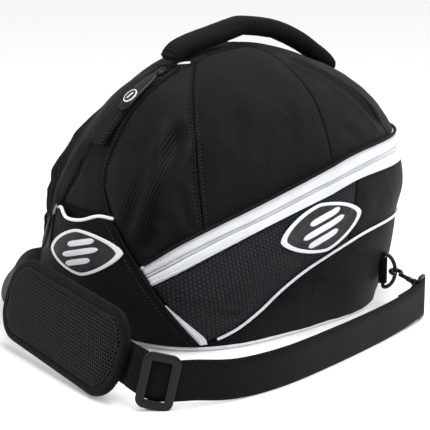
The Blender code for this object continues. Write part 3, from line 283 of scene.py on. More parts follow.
def uneven_tone():
    """Slow and fine unevenness, as dye and handling leave in a cloth or a moulding."""
    tree, calc, given, result = new_group(
        "uneven_tone", (("Place", "NodeSocketVector"), ("Size", "NodeSocketFloat")), ("Slow", "Fine")
    )
    for label, times in (("Slow", 1.0), ("Fine", 9.0)):
        noise = tree.nodes.new("ShaderNodeTexNoise")
        noise.inputs["Detail"].default_value = 3.0
        tree.links.new(given["Place"], noise.inputs["Vector"])
        tree.links.new(calc("DIVIDE", times, given["Size"]), noise.inputs["Scale"])
        tree.links.new(noise.outputs["Fac"], result[label])
    return tree


RIBS = woven_ribs()
TONE = uneven_tone()


class Finish:
    """A material in the making, with its unevenness ready to be mixed in."""

    def __init__(self, name, roughness, size, **fixed):
        self.material = bpy.data.materials.new(name)
        self.material.use_nodes = True
        self.tree = self.material.node_tree
        self.shader = self.tree.nodes["Principled BSDF"]
        for label, value in fixed.items():
            self.shader.inputs[label.replace("_", " ")].default_value = value
        self.place = self.tree.nodes.new("ShaderNodeTexCoord").outputs["Object"]
        self.cloth = self.tree.nodes.new("ShaderNodeUVMap")
        self.cloth.uv_map = "cloth"
        tone = self.group(TONE, Place=self.place, Size=size)
        self.slow, self.fine = tone["Slow"], tone["Fine"]
        spread = tree_math(self.tree, "MULTIPLY_ADD", self.slow, 0.24, roughness - 0.12)
        self.tree.links.new(spread, self.shader.inputs["Roughness"])

    def group(self, tree, **given):
        node = self.tree.nodes.new("ShaderNodeGroup")
        node.node_tree = tree
        for label, value in given.items():
            if isinstance(value, bpy.types.NodeSocket):
                self.tree.links.new(value, node.inputs[label])
            else:
                node.inputs[label].default_value = value
        return node.outputs

    def math(self, operation, *values):
        return tree_math(self.tree, operation, *values)

    def colour(self, dark, light, share):
        """Base colour between two, by a share that varies over the surface."""
        mix = self.tree.nodes.new("ShaderNodeMix")
        mix.data_type = "RGBA"
        self.tree.links.new(share, mix.inputs[0])
        mix.inputs[6].default_value = (*dark, 1.0)
        mix.inputs[7].default_value = (*light, 1.0)
        self.tree.links.new(mix.outputs[2], self.shader.inputs["Base Color"])

    def eased(self, value, *ends):
        """A smooth step of a value, from its two ends to two others."""
        node = self.tree.nodes.new("ShaderNodeMapRange")
        node.interpolation_type = "SMOOTHSTEP"
        for socket, end in zip(node.inputs[1:5], ends):
            socket.default_value = end
        self.tree.links.new(value, node.inputs[0])
        return node.outputs[0]

    def bump(self, height, depth):
        node = self.tree.nodes.new("ShaderNodeBump")
        node.inputs["Distance"].default_value = depth
        self.tree.links.new(height, node.inputs["Height"])
        self.tree.links.new(node.outputs[0], self.shader.inputs["Normal"])


def woven_finish(name, dark, light, roughness, pitch, slant, depth):
    """A matte woven cloth: ribs in bump, and in colour as painted shade in the grooves between them,
    with slow patches of wear.
    """
    made = Finish(
        name, roughness, 0.05, Sheen_Weight=0.03, Sheen_Roughness=0.45, Specular_IOR_Level=0.07
    )
    ribs = made.group(RIBS, Cloth=made.cloth.outputs[0], Pitch=pitch, Slant=slant)["Height"]
    # Base colour: random wear patches plus painted shade, darker in the grooves between the ribs.
    wear_and_rib_shade = made.math("MULTIPLY_ADD", made.slow, 0.5, made.math("MULTIPLY", ribs, 0.8))
    made.colour(dark, light, made.math("SUBTRACT", wear_and_rib_shade, 0.2))
    made.bump(made.math("MULTIPLY_ADD", made.fine, 0.35, ribs), depth)
    return made.material


BLACK_CLOTH = woven_finish(
    "black_polyester", (0.0010, 0.0010, 0.0012), (0.011, 0.011, 0.012), 0.55, 0.0023, 0.95, 0.0005
)


def vinyl_finish(name, dark, light, roughness):
    """Coated white trim, faintly creased and a little grey where it is handled."""
    made = Finish(
        name, roughness, 0.03, Subsurface_Weight=0.05, Subsurface_Radius=(0.002, 0.002, 0.002)
    )
    made.colour(dark, light, made.math("MULTIPLY_ADD", made.slow, 1.2, -0.1))
    made.bump(made.math("MULTIPLY_ADD", made.slow, 1.5, made.fine), 0.0003)
    return made.material


WHITE_TRIM = vinyl_finish("white_piping", (0.66, 0.68, 0.73), (0.82, 0.83, 0.86), 0.50)


def lattice(rows, columns, ring_rows=False, ring_columns=False):
    """The faces over a grid of points, and the grid place of each of their corners."""
    i, j = np.meshgrid(
        np.arange(rows - (not ring_rows)), np.arange(columns - (not ring_columns)), indexing="ij"
    )
    k, m = (i + 1) % rows, (j + 1) % columns
    faces = np.stack([i * columns + j, k * columns + j, k * columns + m, i * columns + m], -1)
    places = np.stack([i, j, i + 1, j, i + 1, j + 1, i, j + 1], -1)
    return faces.reshape(-1, 4), places.reshape(-1, 4, 2)


def bag_piece(name, points, faces, corners, nodes, material, slot="", sharp=50):
    """A closed mesh piece in the place of its nodes, with corners as its UVs in metres. Its slot
    defaults to the material's name but is not used."""
    slot = slot or material.name.split(".")[0]
    mesh = bpy.data.meshes.new(name)
    mesh.from_pydata(np.asarray(points).reshape(-1, 3).tolist(), [], faces)
    layer = mesh.uv_layers.new(name="cloth")
    layer.data.foreach_set("uv", np.asarray(corners, float).ravel())
    work = bmesh.new()
    work.from_mesh(mesh)
    bmesh.ops.recalc_face_normals(work, faces=work.faces)
    if work.calc_volume(signed=True) < 0:
        bmesh.ops.reverse_faces(work, faces=work.faces)
    work.to_mesh(mesh)
    work.free()
    mesh.materials.append(material)
    mesh.shade_smooth()
    mesh.set_sharp_from_angle(angle=math.radians(sharp))
    thing = placed(name, mesh)
    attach(thing, "root")
    if nodes:
        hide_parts(*nodes)
    return thing


def lofted(name, sections, nodes, material, slot="", ring=False, sharp=50):
    """A piece through closed sections of equally many points, capped unless it is a ring."""
    sections = np.asarray(sections, float)
    rows, columns = sections.shape[:2]
    faces, places = lattice(rows, columns, ring, True)
    steps = np.linalg.norm(np.diff(sections.mean(1), axis=0, append=sections[:1].mean(1)), axis=-1)
    along = np.concatenate([[0.0], np.cumsum(steps)])
    girth = np.linalg.norm(sections - np.roll(sections, -1, axis=1), axis=-1).mean(0)
    around = np.concatenate([[0.0], np.cumsum(girth)])
    corners = np.stack([around[places[..., 1]], along[places[..., 0]]], -1).reshape(-1, 2)
    faces = faces.tolist()
    if not ring:
        faces += [list(range(columns)), [rows * columns - 1 - j for j in range(columns)]]
        corners = np.concatenate([corners, np.zeros((2 * columns, 2))])
    return bag_piece(name, sections, faces, corners, nodes, material, slot, sharp)


def frames_along(points, ring):
    """Two unit ways across a path at each of its points, turning as little as they can."""
    ahead = np.roll(points, -1, 0) - np.roll(points, 1, 0)
    if not ring:
        ahead[0], ahead[-1] = points[1] - points[0], points[-1] - points[-2]
    ahead = unit(ahead)
    across = [unit(np.cross(ahead[0], (0, 0, 1.0) if abs(ahead[0][2]) < 0.8 else (0, 1.0, 0)))]
    for way in ahead[1:]:
        across.append(unit(across[-1] - way * (across[-1] @ way)))
    across = np.array(across)
    return ahead, across, np.cross(ahead, across)


def tube(name, points, radius, nodes, material, slot="", ring=False, sides=12):
    """A round cord or wire along a path, with domed ends."""
    points = np.asarray(points, float)
    radius = np.broadcast_to(np.asarray(radius, float), len(points)).copy()
    ahead, across, beside = frames_along(points, ring)
    if not ring:
        ends = []
        for end, sign in ((0, -1), (-1, 1)):
            turn = np.radians((88, 65, 40, 20))[:: 1 if sign < 0 else -1]
            shift = points[end] + sign * ahead[end] * radius[end] * np.sin(turn)[:, None]
            ends.append((shift, radius[end] * np.cos(turn)))
        repeat = [0] * 4 + list(range(len(points))) + [-1] * 4
        points = np.concatenate([ends[0][0], points, ends[1][0]])
        radius = np.concatenate([ends[0][1], radius, ends[1][1]])
        across, beside = across[repeat], beside[repeat]
    turn = np.linspace(0, 2 * math.pi, sides, endpoint=False)
    circle = across[:, None] * np.cos(turn)[:, None] + beside[:, None] * np.sin(turn)[:, None]
    sections = points[:, None] + circle * radius[:, None, None]
    return lofted(name, sections, nodes, material, slot, ring)


def ripple(points, wave, seed):
    """Even, seeded waviness between about -1 and 1."""
    pick = np.random.default_rng(seed)
    ways = pick.normal(size=(9, 3))
    ways *= (2 * math.pi / wave) / np.linalg.norm(ways, axis=1, keepdims=True)
    ways *= pick.uniform(0.7, 1.4, size=(9, 1))
    turns = points @ ways.T + pick.uniform(0, 2 * math.pi, 9)
    return np.sin(turns).sum(-1) / 4.0


base_outline = wall_points(np.linspace(0, 360, 160, endpoint=False), 0.0)
base_middle = base_outline.mean(0)
base_sections = []
for share, level in (
    (0.02, 0.0), (0.4, 0.0), (0.8, 0.0), (0.985, 0.0), (1.0, 0.0006), (1.0, WALL - 0.0006),
    (0.985, WALL), (0.8, WALL), (0.4, WALL), (0.02, WALL),
):
    base_sections.append(base_middle + (base_outline - base_middle) * share + (0, 0, level))
lofted("base_cloth", base_sections, ["base_panel"], BLACK_CLOTH)
base_cord = base_outline + outward(base_outline) * (PIPING / 2 + 3 * CLEAR)
base_cord[:, 2] = PIPING / 2 + CLEAR
tube("base_cord", base_cord, PIPING / 2, ["base_piping"], WHITE_TRIM, ring=True)

# Tub: plain walls low down and round the back, with embossed panels on both sides, all of polyester
# over foam, sewn inside out and turned, so that each wall is crowned and drawn in at its seams.
CHECK_PITCH = 0.0046
PIPING_LINE = (
    (48, 0.020), (59, 0.068), (67, 0.122), (75, 0.185), (85, 0.243), (97, 0.290), (111, 0.330),
    (130, 0.343), (180, 0.343),
)
BAND_LOW = (
    (34, 0.231), (43, 0.282), (55, 0.350), (70, 0.421), (87, 0.483), (103, 0.530), (120, 0.540),
    (180, 0.536),
)
BAND_TOP = (
    (30, 0.294), (37, 0.338), (44, 0.383), (55, 0.442), (67, 0.499), (79, 0.551), (94, 0.608),
    (108, 0.634), (133, 0.644), (180, 0.644),
)
POCKET_TOP, POCKET_HEAD_ANGLE = 0.45, 19.0
# Angle and height share where a fold starts and ends, its width as a share of HEIGHT, its depth
FOLDS = (
    (40, 0.76, 33, 0.34, 0.036, 0.0160),
    (33, 0.66, 27, 0.40, 0.030, 0.0040),
    (43, 0.56, 47, 0.42, 0.022, 0.0028),
    (24, 0.70, 29, 0.44, 0.035, 0.0040),
    (40, 0.20, 62, 0.13, 0.020, 0.0048),
    (30, 0.52, 41, 0.44, 0.022, 0.0022),
    (56, 0.58, 62, 0.80, 0.040, 0.0016),
    (74, 0.62, 80, 0.78, 0.035, 0.0014),
    (97, 0.72, 108, 0.66, 0.030, 0.0016),
    (108, 0.95, 117, 0.84, 0.030, 0.0050),
    (115, 0.86, 124, 0.69, 0.034, 0.0055),
    (140, 0.30, 158, 0.12, 0.040, 0.0024),
    (150, 0.70, 165, 0.82, 0.035, 0.0016),
)
NEAR_SEAM = np.array((0, 0.35, 0.8, 1.3, 1.9, 2.6, 3.3, 3.9, 4.5, 5.3, 6.6, 8.5, 11.0)) / 1000
SIDES = (("near", 1), ("far", -1))


def spaced(length, pitch=0.003):
    """Shares of a panel's length, close together beside its seams."""
    reach = NEAR_SEAM[-1]
    if length < 2.6 * reach:
        return np.linspace(0, 1, max(6, round(length / 0.0010)))
    middle = np.linspace(reach, length - reach, max(3, round((length - 2 * reach) / pitch)))
    return np.concatenate([NEAR_SEAM[:-1], middle, length - NEAR_SEAM[::-1][1:]]) / length


def drawn_in(points):
    """How far the cloth's folds draw the skin in, with a low ridge along each side of them."""
    mirrored = np.array(points)
    mirrored[..., 0] = np.abs(points[..., 0])
    drawn = np.zeros(points.shape[:-1])
    for angle_a, height_a, angle_b, height_b, width, depth in FOLDS:
        start, end = wall_points(angle_a, height_a), wall_points(angle_b, height_b)
        span = end - start
        share = np.clip((mirrored - start) @ span / (span @ span), 0, 1)
        away = np.linalg.norm(mirrored - start - share[..., None] * span, axis=-1) / (width * HEIGHT)
        valley = np.exp(-away * away * 2) - 0.40 * np.exp(-(((away - 1.5) / 0.55) ** 2))
        drawn += depth * valley * (1 - (2 * share - 1) ** 4)
    return drawn


def normals_of(grid):
    down, across = np.gradient(grid, axis=0), np.gradient(grid, axis=1)
    normal = np.cross(across, down)
    normal /= np.maximum(np.linalg.norm(normal, axis=-1, keepdims=True), 1e-12)
    return normal * np.sign((normal * (grid - CORE)).sum(-1, keepdims=True))


def run_of(grid, axis):
    """The distance run along one way of a grid."""
    steps = np.linalg.norm(np.diff(grid, axis=axis), axis=-1)
    start = np.zeros_like(np.take(steps, [0], axis=axis))
    return np.cumsum(np.concatenate([start, steps], axis=axis), axis=axis)


def seam_form(away, felled):
    """The cloth's rise beside a seam: a groove, and on a felled one a ridge and its stitch line."""
    form = -0.0016 * np.exp(-((away / 0.0009) ** 2))
    if felled:
        form += 0.0013 * np.exp(-(((away - 0.0023) / 0.0014) ** 2))
        form -= 0.0012 * np.exp(-(((away - 0.0050) / 0.0009) ** 2))
    return form


laid = {}
# Depth and wave length of the cloth's unevenness: over a panel, gathered beside a seam, and fine
BROAD_WAVES, SEAM_WAVES, FINE_WAVES = (0.0007, 0.055), (0.00055, 0.013), (0.00016, 0.018)


def cloth_panel(node, grid, crown=0.003, felled="", plain="", lift=0.0, wall=WALL, room=0.035,
                material=BLACK_CLOTH, slot="", crease=1.0, seam=1.0):
    """A padded wall over skin points: crowned, drawn in at its seams, rippled and folded.
    felled and plain name its edges, of l, r, b and t, that are topstitched or have no groove."""
    grid = np.array(grid, float)
    for _ in range(2):
        for edge, inner in ((0, 1), (-1, -2)):
            step = grid[inner] - grid[edge]
            length = np.maximum(np.linalg.norm(step, axis=1, keepdims=True), 1e-9)
            grid[edge] += step * np.minimum(SEAM / 2 / length, 0.4)
        grid = grid.transpose(1, 0, 2)
    across, up = run_of(grid, 1), run_of(grid, 0)
    away = {"l": across, "r": across[:, -1:] - across, "b": up, "t": up[-1:] - up}
    form, full, close = np.zeros(grid.shape[:2]), np.ones(grid.shape[:2]), np.zeros(grid.shape[:2])
    for edge, distance in away.items():
        if edge in plain:
            continue
        form += seam * seam_form(distance, edge in felled)
        full *= 1 - np.clip(1 - distance / room, 0, 1) ** 2
        close = np.maximum(close, np.exp(-distance / 0.009))
    seed = sum(map(ord, node))
    broad, gathered, fine = (
        crease * depth * ripple(grid, wave, seed + k)
        for k, (depth, wave) in enumerate((BROAD_WAVES, SEAM_WAVES, FINE_WAVES))
    )
    form += crown * full + broad * full
    form += gathered * close * (1 - np.exp(-2.5 * (1 - close))) + fine
    normal = normals_of(grid)
    outer = grid + normal * (form + lift - drawn_in(grid))[..., None]
    inner = outer - normal * wall
    rows, columns = grid.shape[:2]
    count = rows * columns
    faces, _ = lattice(rows, columns)
    number = np.arange(count).reshape(rows, columns)
    rim = np.concatenate([number[0], number[1:, -1], number[-1, -2::-1], number[-2:0:-1, 0]])
    following = np.roll(rim, -1)
    edges = np.stack([rim, following, following + count, rim + count], -1)
    faces = np.concatenate([faces, faces[:, ::-1] + count, edges])
    flat = np.stack([across, up], -1).reshape(-1, 2)
    corners = np.concatenate([flat, flat])[faces.ravel()]
    points = np.concatenate([outer.reshape(-1, 3), inner.reshape(-1, 3)])
    bag_piece(f"{node}_cloth", points, faces.tolist(), corners, [node], material, slot)
    laid[node] = (outer, away, normal)


def line_height(edges, angle):
    return smooth(edges, angle)[..., 0]


def piping_edge(i):
    angle = np.interp(i, (0, 10, 20), (48, 102, 180))
    return angle, np.maximum(line_height(PIPING_LINE, angle), BASE_LEVEL)


def low_edge(i):
    angle = np.interp(i, (0, 10, 20), (34, 102, 180))
    return angle, line_height(BAND_LOW, angle)


def top_edge(i):
    angle = np.interp(i, (0, 7, 12, 15, 20), (30, 50.5, 91, 126, 180))
    return angle, line_height(BAND_TOP, angle)


def ground_edge(i):
    angle = piping_edge(i)[0]
    return angle, np.full_like(angle, BASE_LEVEL)


def round_back(lower, upper, i, shares, side=1):
    """Skin points between two seams; past column 20 they come back along the other side."""
    i = np.asarray(i, float)
    sign = side * np.where(i <= 20, 1, -1)
    i = 20 - np.abs(20 - i)
    (angle_a, height_a), (angle_b, height_b) = lower(i), upper(i)
    shares = np.asarray(shares)[:, None]
    angle = angle_a + (angle_b - angle_a) * shares
    return wall_points(sign * angle, height_a + (height_b - height_a) * shares)


def pocket_side(height):
    """The angle of the pocket's side seam, which meets the piping and both edges of the band."""
    angles = (PIPING_LINE[0][0], BAND_LOW[0][0], BAND_TOP[0][0], POCKET_HEAD_ANGLE)
    return np.interp(height, (BASE_LEVEL, BAND_LOW[0][1], BAND_TOP[0][1], POCKET_TOP), angles)


def embossed_checks():
    """The distance from the nearest of a field of dots in offset rows, in pitches."""
    tree, calc, given, result = new_group(
        "offset_dots", (("Cloth", "NodeSocketVector"), ("Pitch", "NodeSocketFloat")), ("Distance",)
    )
    split = tree.nodes.new("ShaderNodeSeparateXYZ")
    tree.links.new(given["Cloth"], split.inputs[0])
    u = calc("DIVIDE", split.outputs[0], given["Pitch"])
    v = calc("DIVIDE", calc("DIVIDE", split.outputs[1], given["Pitch"]), 1.732)
    reaches = []
    for shift in (0.0, 0.5):
        a = calc("SUBTRACT", calc("FRACT", calc("ADD", u, shift)), 0.5)
        b = calc("SUBTRACT", calc("FRACT", calc("ADD", v, shift)), 0.5)
        b = calc("MULTIPLY", b, 1.732)
        square = calc("MULTIPLY_ADD", a, a, calc("MULTIPLY", b, b))
        reaches.append(calc("SQRT", square))
    tree.links.new(calc("MINIMUM", *reaches), result["Distance"])
    return tree


DOTS = embossed_checks()


def check_finish():
    made = Finish("embossed_check_cloth", 0.45, 0.05, Specular_IOR_Level=0.12)
    away = made.group(DOTS, Cloth=made.cloth.outputs[0], Pitch=CHECK_PITCH)["Distance"]
    # Base colour lighter on the raised checks and darker between them: painted shade in the grooves,
    # over random tone.
    raised = made.eased(away, 0.30, 0.50, 1.0, 0.0)
    share = made.math("MULTIPLY_ADD", made.slow, 0.45, made.math("MULTIPLY", raised, 0.6))
    made.colour((0.002, 0.002, 0.0025), (0.024, 0.024, 0.029), share)
    made.bump(made.math("MULTIPLY_ADD", made.fine, 0.15, raised), 0.0011)
    return made.material


CHECK_CLOTH = check_finish()
front_heights = BASE_LEVEL + (POCKET_TOP - BASE_LEVEL) * spaced(0.125)
front_across = 2 * spaced(0.2) - 1
front_angles = pocket_side(front_heights)[:, None] * front_across
cloth_panel(
    "front_panel", wall_points(front_angles, front_heights[:, None]), crown=0.0, crease=0.4, plain="t"
)
around_all = 40 * spaced(0.95, 0.0035)
around_rear = 10 + 20 * spaced(0.42, 0.0035)
cloth_panel("lower_panel", round_back(ground_edge, piping_edge, around_all, spaced(0.085)), plain="b")
cloth_panel("rear_wrap_panel", round_back(piping_edge, low_edge, around_rear, spaced(0.06)))
for label, side in SIDES:
    cloth_panel(
        f"side_panel_{label}",
        round_back(piping_edge, low_edge, 10 * spaced(0.21), spaced(0.075), side),
        material=CHECK_CLOTH,
    )
# Angle and height share where a stitched dart starts and ends
DARTS = ((86, 0.208, 122, 0.080), (104, 0.272, 119, 0.216))
DART_LIFT, DART_RADIUS = 0.0028, 0.0007
for label, side in SIDES:
    for k, (angle_a, height_a, angle_b, height_b) in enumerate(DARTS):
        line = wall_points(
            side * np.linspace(angle_a, angle_b, 40), np.linspace(height_a, height_b, 40)
        )
        line += outward(line) * (DART_LIFT - drawn_in(line))[:, None]
        tube(f"dart_{label}_{'ab'[k]}", line, DART_RADIUS, [], BLACK_CLOTH, sides=6)


def seam_path(edge, steps, lift):
    """A line along a seam from the near side round the back, lifted off the folded skin."""
    i = np.asarray(steps, float)
    angle, height = edge(20 - np.abs(20 - i))
    points = wall_points(np.where(i <= 20, 1, -1) * angle, height)
    return points + outward(points) * (lift - drawn_in(points))[:, None]


tube(
    "side_cord", seam_path(piping_edge, np.linspace(1, 39, 300), CLEAR + THIN_PIPING / 2),
    THIN_PIPING / 2, ["side_piping"], WHITE_TRIM,
)

# Zip band: two broad tapes of coated white webbing on either side of a nylon coil, sewn over the
# seam between tub and dome, with a black cord over its upper edge.
COIL_LOW, COIL_HIGH = 0.44, 0.56
TAPE_LIFT = 0.0006
COIL_PITCH, COIL_TOOTH, COIL_ROWS = 0.0016, 0.00075, (0.478, 0.522)
TAPE_WHITE = vinyl_finish("white_zip_tape", (0.60, 0.62, 0.67), (0.78, 0.79, 0.82), 0.55)


def band_level(share):
    def edge(i):
        (angle_a, height_a), (angle_b, height_b) = low_edge(i), top_edge(i)
        return angle_a + (angle_b - angle_a) * share, height_a + (height_b - height_a) * share
    return edge


around_band = 40 * spaced(1.0, 0.0035)
for node, low, high, crown, felled in (
    ("zip_tape_lower", 0.0, COIL_LOW, 0.0012, "b"), ("zip_coil", COIL_LOW, COIL_HIGH, -0.0002, ""),
    ("zip_tape_upper", COIL_HIGH, 1.0, 0.0012, "t"),
):
    shares = spaced(0.014) if node != "zip_coil" else np.linspace(0, 1, 6)
    cloth_panel(
        node, round_back(band_level(low), band_level(high), around_band, shares), crown=crown,
        lift=TAPE_LIFT, room=0.006, material=TAPE_WHITE, crease=0.35, seam=0.45, felled=felled,
    )
tube(
    "band_cord", seam_path(top_edge, np.linspace(0.7, 39.3, 320), TAPE_LIFT + CLEAR + PIPING / 2),
    PIPING / 2, ["band_piping"], BLACK_CLOTH,
)


def bead_rows():
    """Geometry Nodes tree: rounded beads, such as stitches or zip teeth, along curves."""
    tree = bpy.data.node_groups.new("bead_rows", "GeometryNodeTree")
    face = tree.interface
    face.new_socket("Geometry", in_out="OUTPUT", socket_type="NodeSocketGeometry")
    for label, kind in (
        ("Geometry", "Geometry"), ("Pitch", "Float"), ("Half Length", "Float"),
        ("Thickness", "Float"), ("Finish", "Material"),
    ):
        face.new_socket(label, in_out="INPUT", socket_type="NodeSocket" + kind)
    make, link = tree.nodes.new, tree.links.new
    given, result = make("NodeGroupInput").outputs, make("NodeGroupOutput")
    spread = make("GeometryNodeResampleCurve")
    spread.mode = "LENGTH"
    link(given["Geometry"], spread.inputs["Curve"])
    link(given["Pitch"], spread.inputs["Length"])
    turn = make("FunctionNodeAlignRotationToVector")
    turn.axis = "Z"
    link(make("GeometryNodeInputTangent").outputs[0], turn.inputs["Vector"])
    bead = make("GeometryNodeMeshUVSphere")
    bead.inputs["Segments"].default_value = 6
    bead.inputs["Rings"].default_value = 4
    bead.inputs["Radius"].default_value = 1.0
    size = make("ShaderNodeCombineXYZ")
    link(given["Thickness"], size.inputs[0])
    link(given["Thickness"], size.inputs[1])
    link(given["Half Length"], size.inputs[2])
    scatter = make("GeometryNodeInstanceOnPoints")
    link(spread.outputs[0], scatter.inputs["Points"])
    link(bead.outputs["Mesh"], scatter.inputs["Instance"])
    link(turn.outputs[0], scatter.inputs["Rotation"])
    link(size.outputs[0], scatter.inputs["Scale"])
    real, dress = make("GeometryNodeRealizeInstances"), make("GeometryNodeSetMaterial")
    link(scatter.outputs[0], real.inputs[0])
    link(real.outputs[0], dress.inputs["Geometry"])
    link(given["Finish"], dress.inputs["Material"])
    link(dress.outputs[0], result.inputs[0])
    return tree


BEADS = bead_rows()


def applied(thing):
    """A new mesh of an object as its modifiers leave it."""
    graph = bpy.context.evaluated_depsgraph_get()
    return bpy.data.meshes.new_from_object(thing.evaluated_get(graph), depsgraph=graph)


def beads_along(name, lines, pitch, half_length, thickness, material, slot):
    """One plain mesh of beads along lines, given as lists of points."""
    curve = bpy.data.curves.new(name, "CURVE")
    curve.dimensions = "3D"
    for line in lines:
        spline = curve.splines.new("POLY")
        spline.points.add(len(line) - 1)
        spline.points.foreach_set("co", np.c_[line, np.ones(len(line))].ravel())
    guide = placed(f"{name}_guide", curve)
    rows = guide.modifiers.new("beads", "NODES")
    rows.node_group = BEADS
    sockets = [item for item in BEADS.interface.items_tree if item.in_out == "INPUT"]
    for socket, value in zip(sockets[1:], (pitch, half_length, thickness, material)):
        rows[socket.identifier] = value
    mesh = applied(guide)
    bpy.data.objects.remove(guide, do_unlink=True)
    mesh.name = name
    mesh.shade_smooth()
    thing = placed(name, mesh)
    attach(thing, "root")


coil_steps = np.linspace(0.2, 39.8, 420)
coil_lines = [seam_path(band_level(row), coil_steps, TAPE_LIFT + 0.0002) for row in COIL_ROWS]
beads_along(
    "zip_teeth", coil_lines, COIL_PITCH, COIL_TOOTH * 0.75, COIL_TOOTH, TAPE_WHITE, "white_zip_tape"
)

# White wedges: two folded layers of coated trim, sewn into the pocket's side seam at its foot.
wedge_foot = BASE_LEVEL + THIN_PIPING / HEIGHT
WEDGE_TOP, WEDGE_WIDTH = 0.170, 3.6
WEDGE_ROWS = ((0.0, 0.75), (0.15, 1.00), (0.40, 0.85), (0.75, 0.45), (1.0, 0.10))
for label, side in SIDES:
    shares = np.linspace(0, 1, 26)
    heights = wedge_foot + (WEDGE_TOP - wedge_foot) * shares
    widths = WEDGE_WIDTH * smooth(WEDGE_ROWS, shares)[:, 0]
    angles = pocket_side(heights)[:, None] + widths[:, None] * np.linspace(0, 1, 14)
    fold = 0.0007 * (np.linspace(0, 1, 14) < 0.5)
    cloth_panel(
        f"corner_wedge_{label}", wall_points(side * angles, heights[:, None]), crown=0.0004,
        lift=CLEAR + 0.001 + fold, wall=0.0009, room=0.002, plain="lrbt", material=WHITE_TRIM,
        crease=0.3,
    )

# Dome: gores of padded polyester in the shape of a helmet, joined by felled seams on either side of
# the centre strip, which carries the main zip, and gathered in a crease at the crown.
STRIP_WIDTHS = ((4, 0.0400), (14, 0.0235), (30, 0.0170), (50, 0.0162), (96, 0.0170))
pocket_corner = wall_points(POCKET_HEAD_ANGLE, POCKET_TOP)
first_lean = math.degrees(math.atan2(pocket_corner[2] - CORE[2], CORE[1] - pocket_corner[1]))
FIRST_LEAN, TOP_SEAM_LEAN, CROWN_LEAN = 4.4, 68.5, 95
second_lean = FIRST_LEAN + (TOP_SEAM_LEAN - FIRST_LEAN) / 7
CREASE_HALF_WIDTH, CREASE_SETBACK = 0.030, 0.008


def strip_points(x, lean):
    """The skin at distances from the middle plane, leaning from the front's level over the top."""
    lean = np.radians(lean)
    return skin_along(stacked(x, CORE[1], CORE[2]), stacked(0, -np.cos(lean), np.sin(lean)))


def strip_lean(i):
    return np.interp(i, (0, 1, 7, 12), (first_lean, second_lean, TOP_SEAM_LEAN, CROWN_LEAN))


def strip_half(i):
    lean = strip_lean(i)
    half = smooth(STRIP_WIDTHS, lean)[..., 0]
    first = smooth(STRIP_WIDTHS, second_lean)[0]
    return np.where(np.asarray(i) < 1, pocket_corner[0] + (first - pocket_corner[0]) * i, half)


def crown_edge(i):
    """The upper ends of the gores' columns: on the strip's edge, then along the crown's crease."""
    i = np.asarray(i, float)
    on_strip = strip_points(strip_half(np.minimum(i, 12)), strip_lean(np.minimum(i, 12)))
    end = strip_points(strip_half(12.0), strip_lean(12.0))
    share = np.clip((i - 12) / 3, 0, 1)
    x = end[0] + (CREASE_HALF_WIDTH - end[0]) * share
    origin = stacked(x, end[1] + CREASE_SETBACK * share, CORE[2])
    return np.where(i[..., None] <= 12, on_strip, skin_along(origin, (0, 0, 1.0)))


def bent(low, high, shares):
    """Skin points over the dome from one seam up to another."""
    shares = np.asarray(shares)[:, None, None]
    return (low - CORE) * (1 - shares) + (high - CORE) * shares


def gore_points(i, shares):
    i = np.asarray(i, float)
    ways = bent(wall_points(*top_edge(i)), crown_edge(i), shares)
    heights = BAND_TOP[0][1] + (POCKET_TOP - BAND_TOP[0][1]) * np.asarray(shares)
    edge = wall_points(pocket_side(heights), heights) - CORE
    one = np.ones(1)
    second = bent(wall_points(*top_edge(one)), crown_edge(one), shares)[:, 0]
    share = np.clip(i, 0, 1)[:, None]
    first_ways = edge[:, None] * (1 - share) + second[:, None] * share
    return skin_along(CORE, np.where(i[:, None] < 1, first_ways, ways))


strip_rows = 12 * spaced(0.36)
across_strip = 2 * spaced(0.045, 0.0025) - 1
head = wall_points(POCKET_HEAD_ANGLE * across_strip, POCKET_TOP)
head_lean = np.degrees(np.arctan2(head[:, 2] - CORE[2], CORE[1] - head[:, 1]))
start = np.clip(1 - strip_rows, 0, 1)[:, None]
upper_rows = np.maximum(strip_rows, 1)
strip_x = head[:, 0] * start + (strip_half(upper_rows)[:, None] * across_strip) * (1 - start)
strip_turn = head_lean * start + strip_lean(upper_rows)[:, None] * (1 - start)
cloth_panel("centre_strip", strip_points(strip_x, strip_turn), crown=0.0012, room=0.010, felled="lr")
GORES = (
    ("front_gore", 0, 7, 0.10, "rt", 0.004), ("side_gore", 7, 12, 0.15, "l", 0.004),
    ("rear_gore", 12, 15, 0.06, "", 0.0015),
)
for name, first, last, width, felled, crown in GORES:
    grid = gore_points(first + (last - first) * spaced(width), spaced(0.17))
    for label, side in SIDES:
        cloth_panel(f"{name}_{label}", grid * (side, 1, 1), crown=crown, felled=felled)
back_steps = 10 * spaced(0.24)
back = 5 - np.abs(5 - back_steps)
side_sign = np.where(back_steps <= 5, 1, -1)[:, None] * (1, 0, 0) + (0, 1, 1)
back_low = wall_points(*top_edge(15 + back))
crown_end = crown_edge(np.array([12.0]))[0]
share = np.clip((5 - back) / 2, 0, 1)
middle_crown = skin_along(stacked(crown_end[0] * share, crown_end[1], CORE[2]), (0, 0, 1.0))
back_high = np.where((back <= 3)[:, None], crown_edge(15 - np.minimum(back, 3)), middle_crown)
back_grid = skin_along(CORE, bent(back_low, back_high, spaced(0.17)))
cloth_panel("rear_dome_panel", back_grid * side_sign, crown=0.001)

# Front pocket: a raised pouch with bound side seams and a white cord along its open top, under which
# a small zip runs, with a grey ring slider and two teardrop pulls.
POCKET_WALL, POCKET_BULGE, BINDING = 0.002, 0.011, 0.0026
POCKET_RIM = ((0, 0.425), (0.15, 0.435), (0.35, 0.412), (0.60, 0.418), (0.85, 0.442), (1, 0.440))
pocket_foot = (PIPING + 2 * CLEAR) / HEIGHT


def rim_at(across):
    return smooth(POCKET_RIM, across)[..., 0]


def pocket_lift(across, height):
    """How far the pocket's outer face stands off the skin."""
    up = (height - pocket_foot) / (rim_at(across) - pocket_foot)
    swell = np.sin(math.pi * np.clip(across, 0, 1)) ** 0.75
    rise = np.sin(math.pi / 2 * np.clip(up / 0.5, 0, 1))
    return POCKET_WALL + CLEAR + POCKET_BULGE * swell * rise


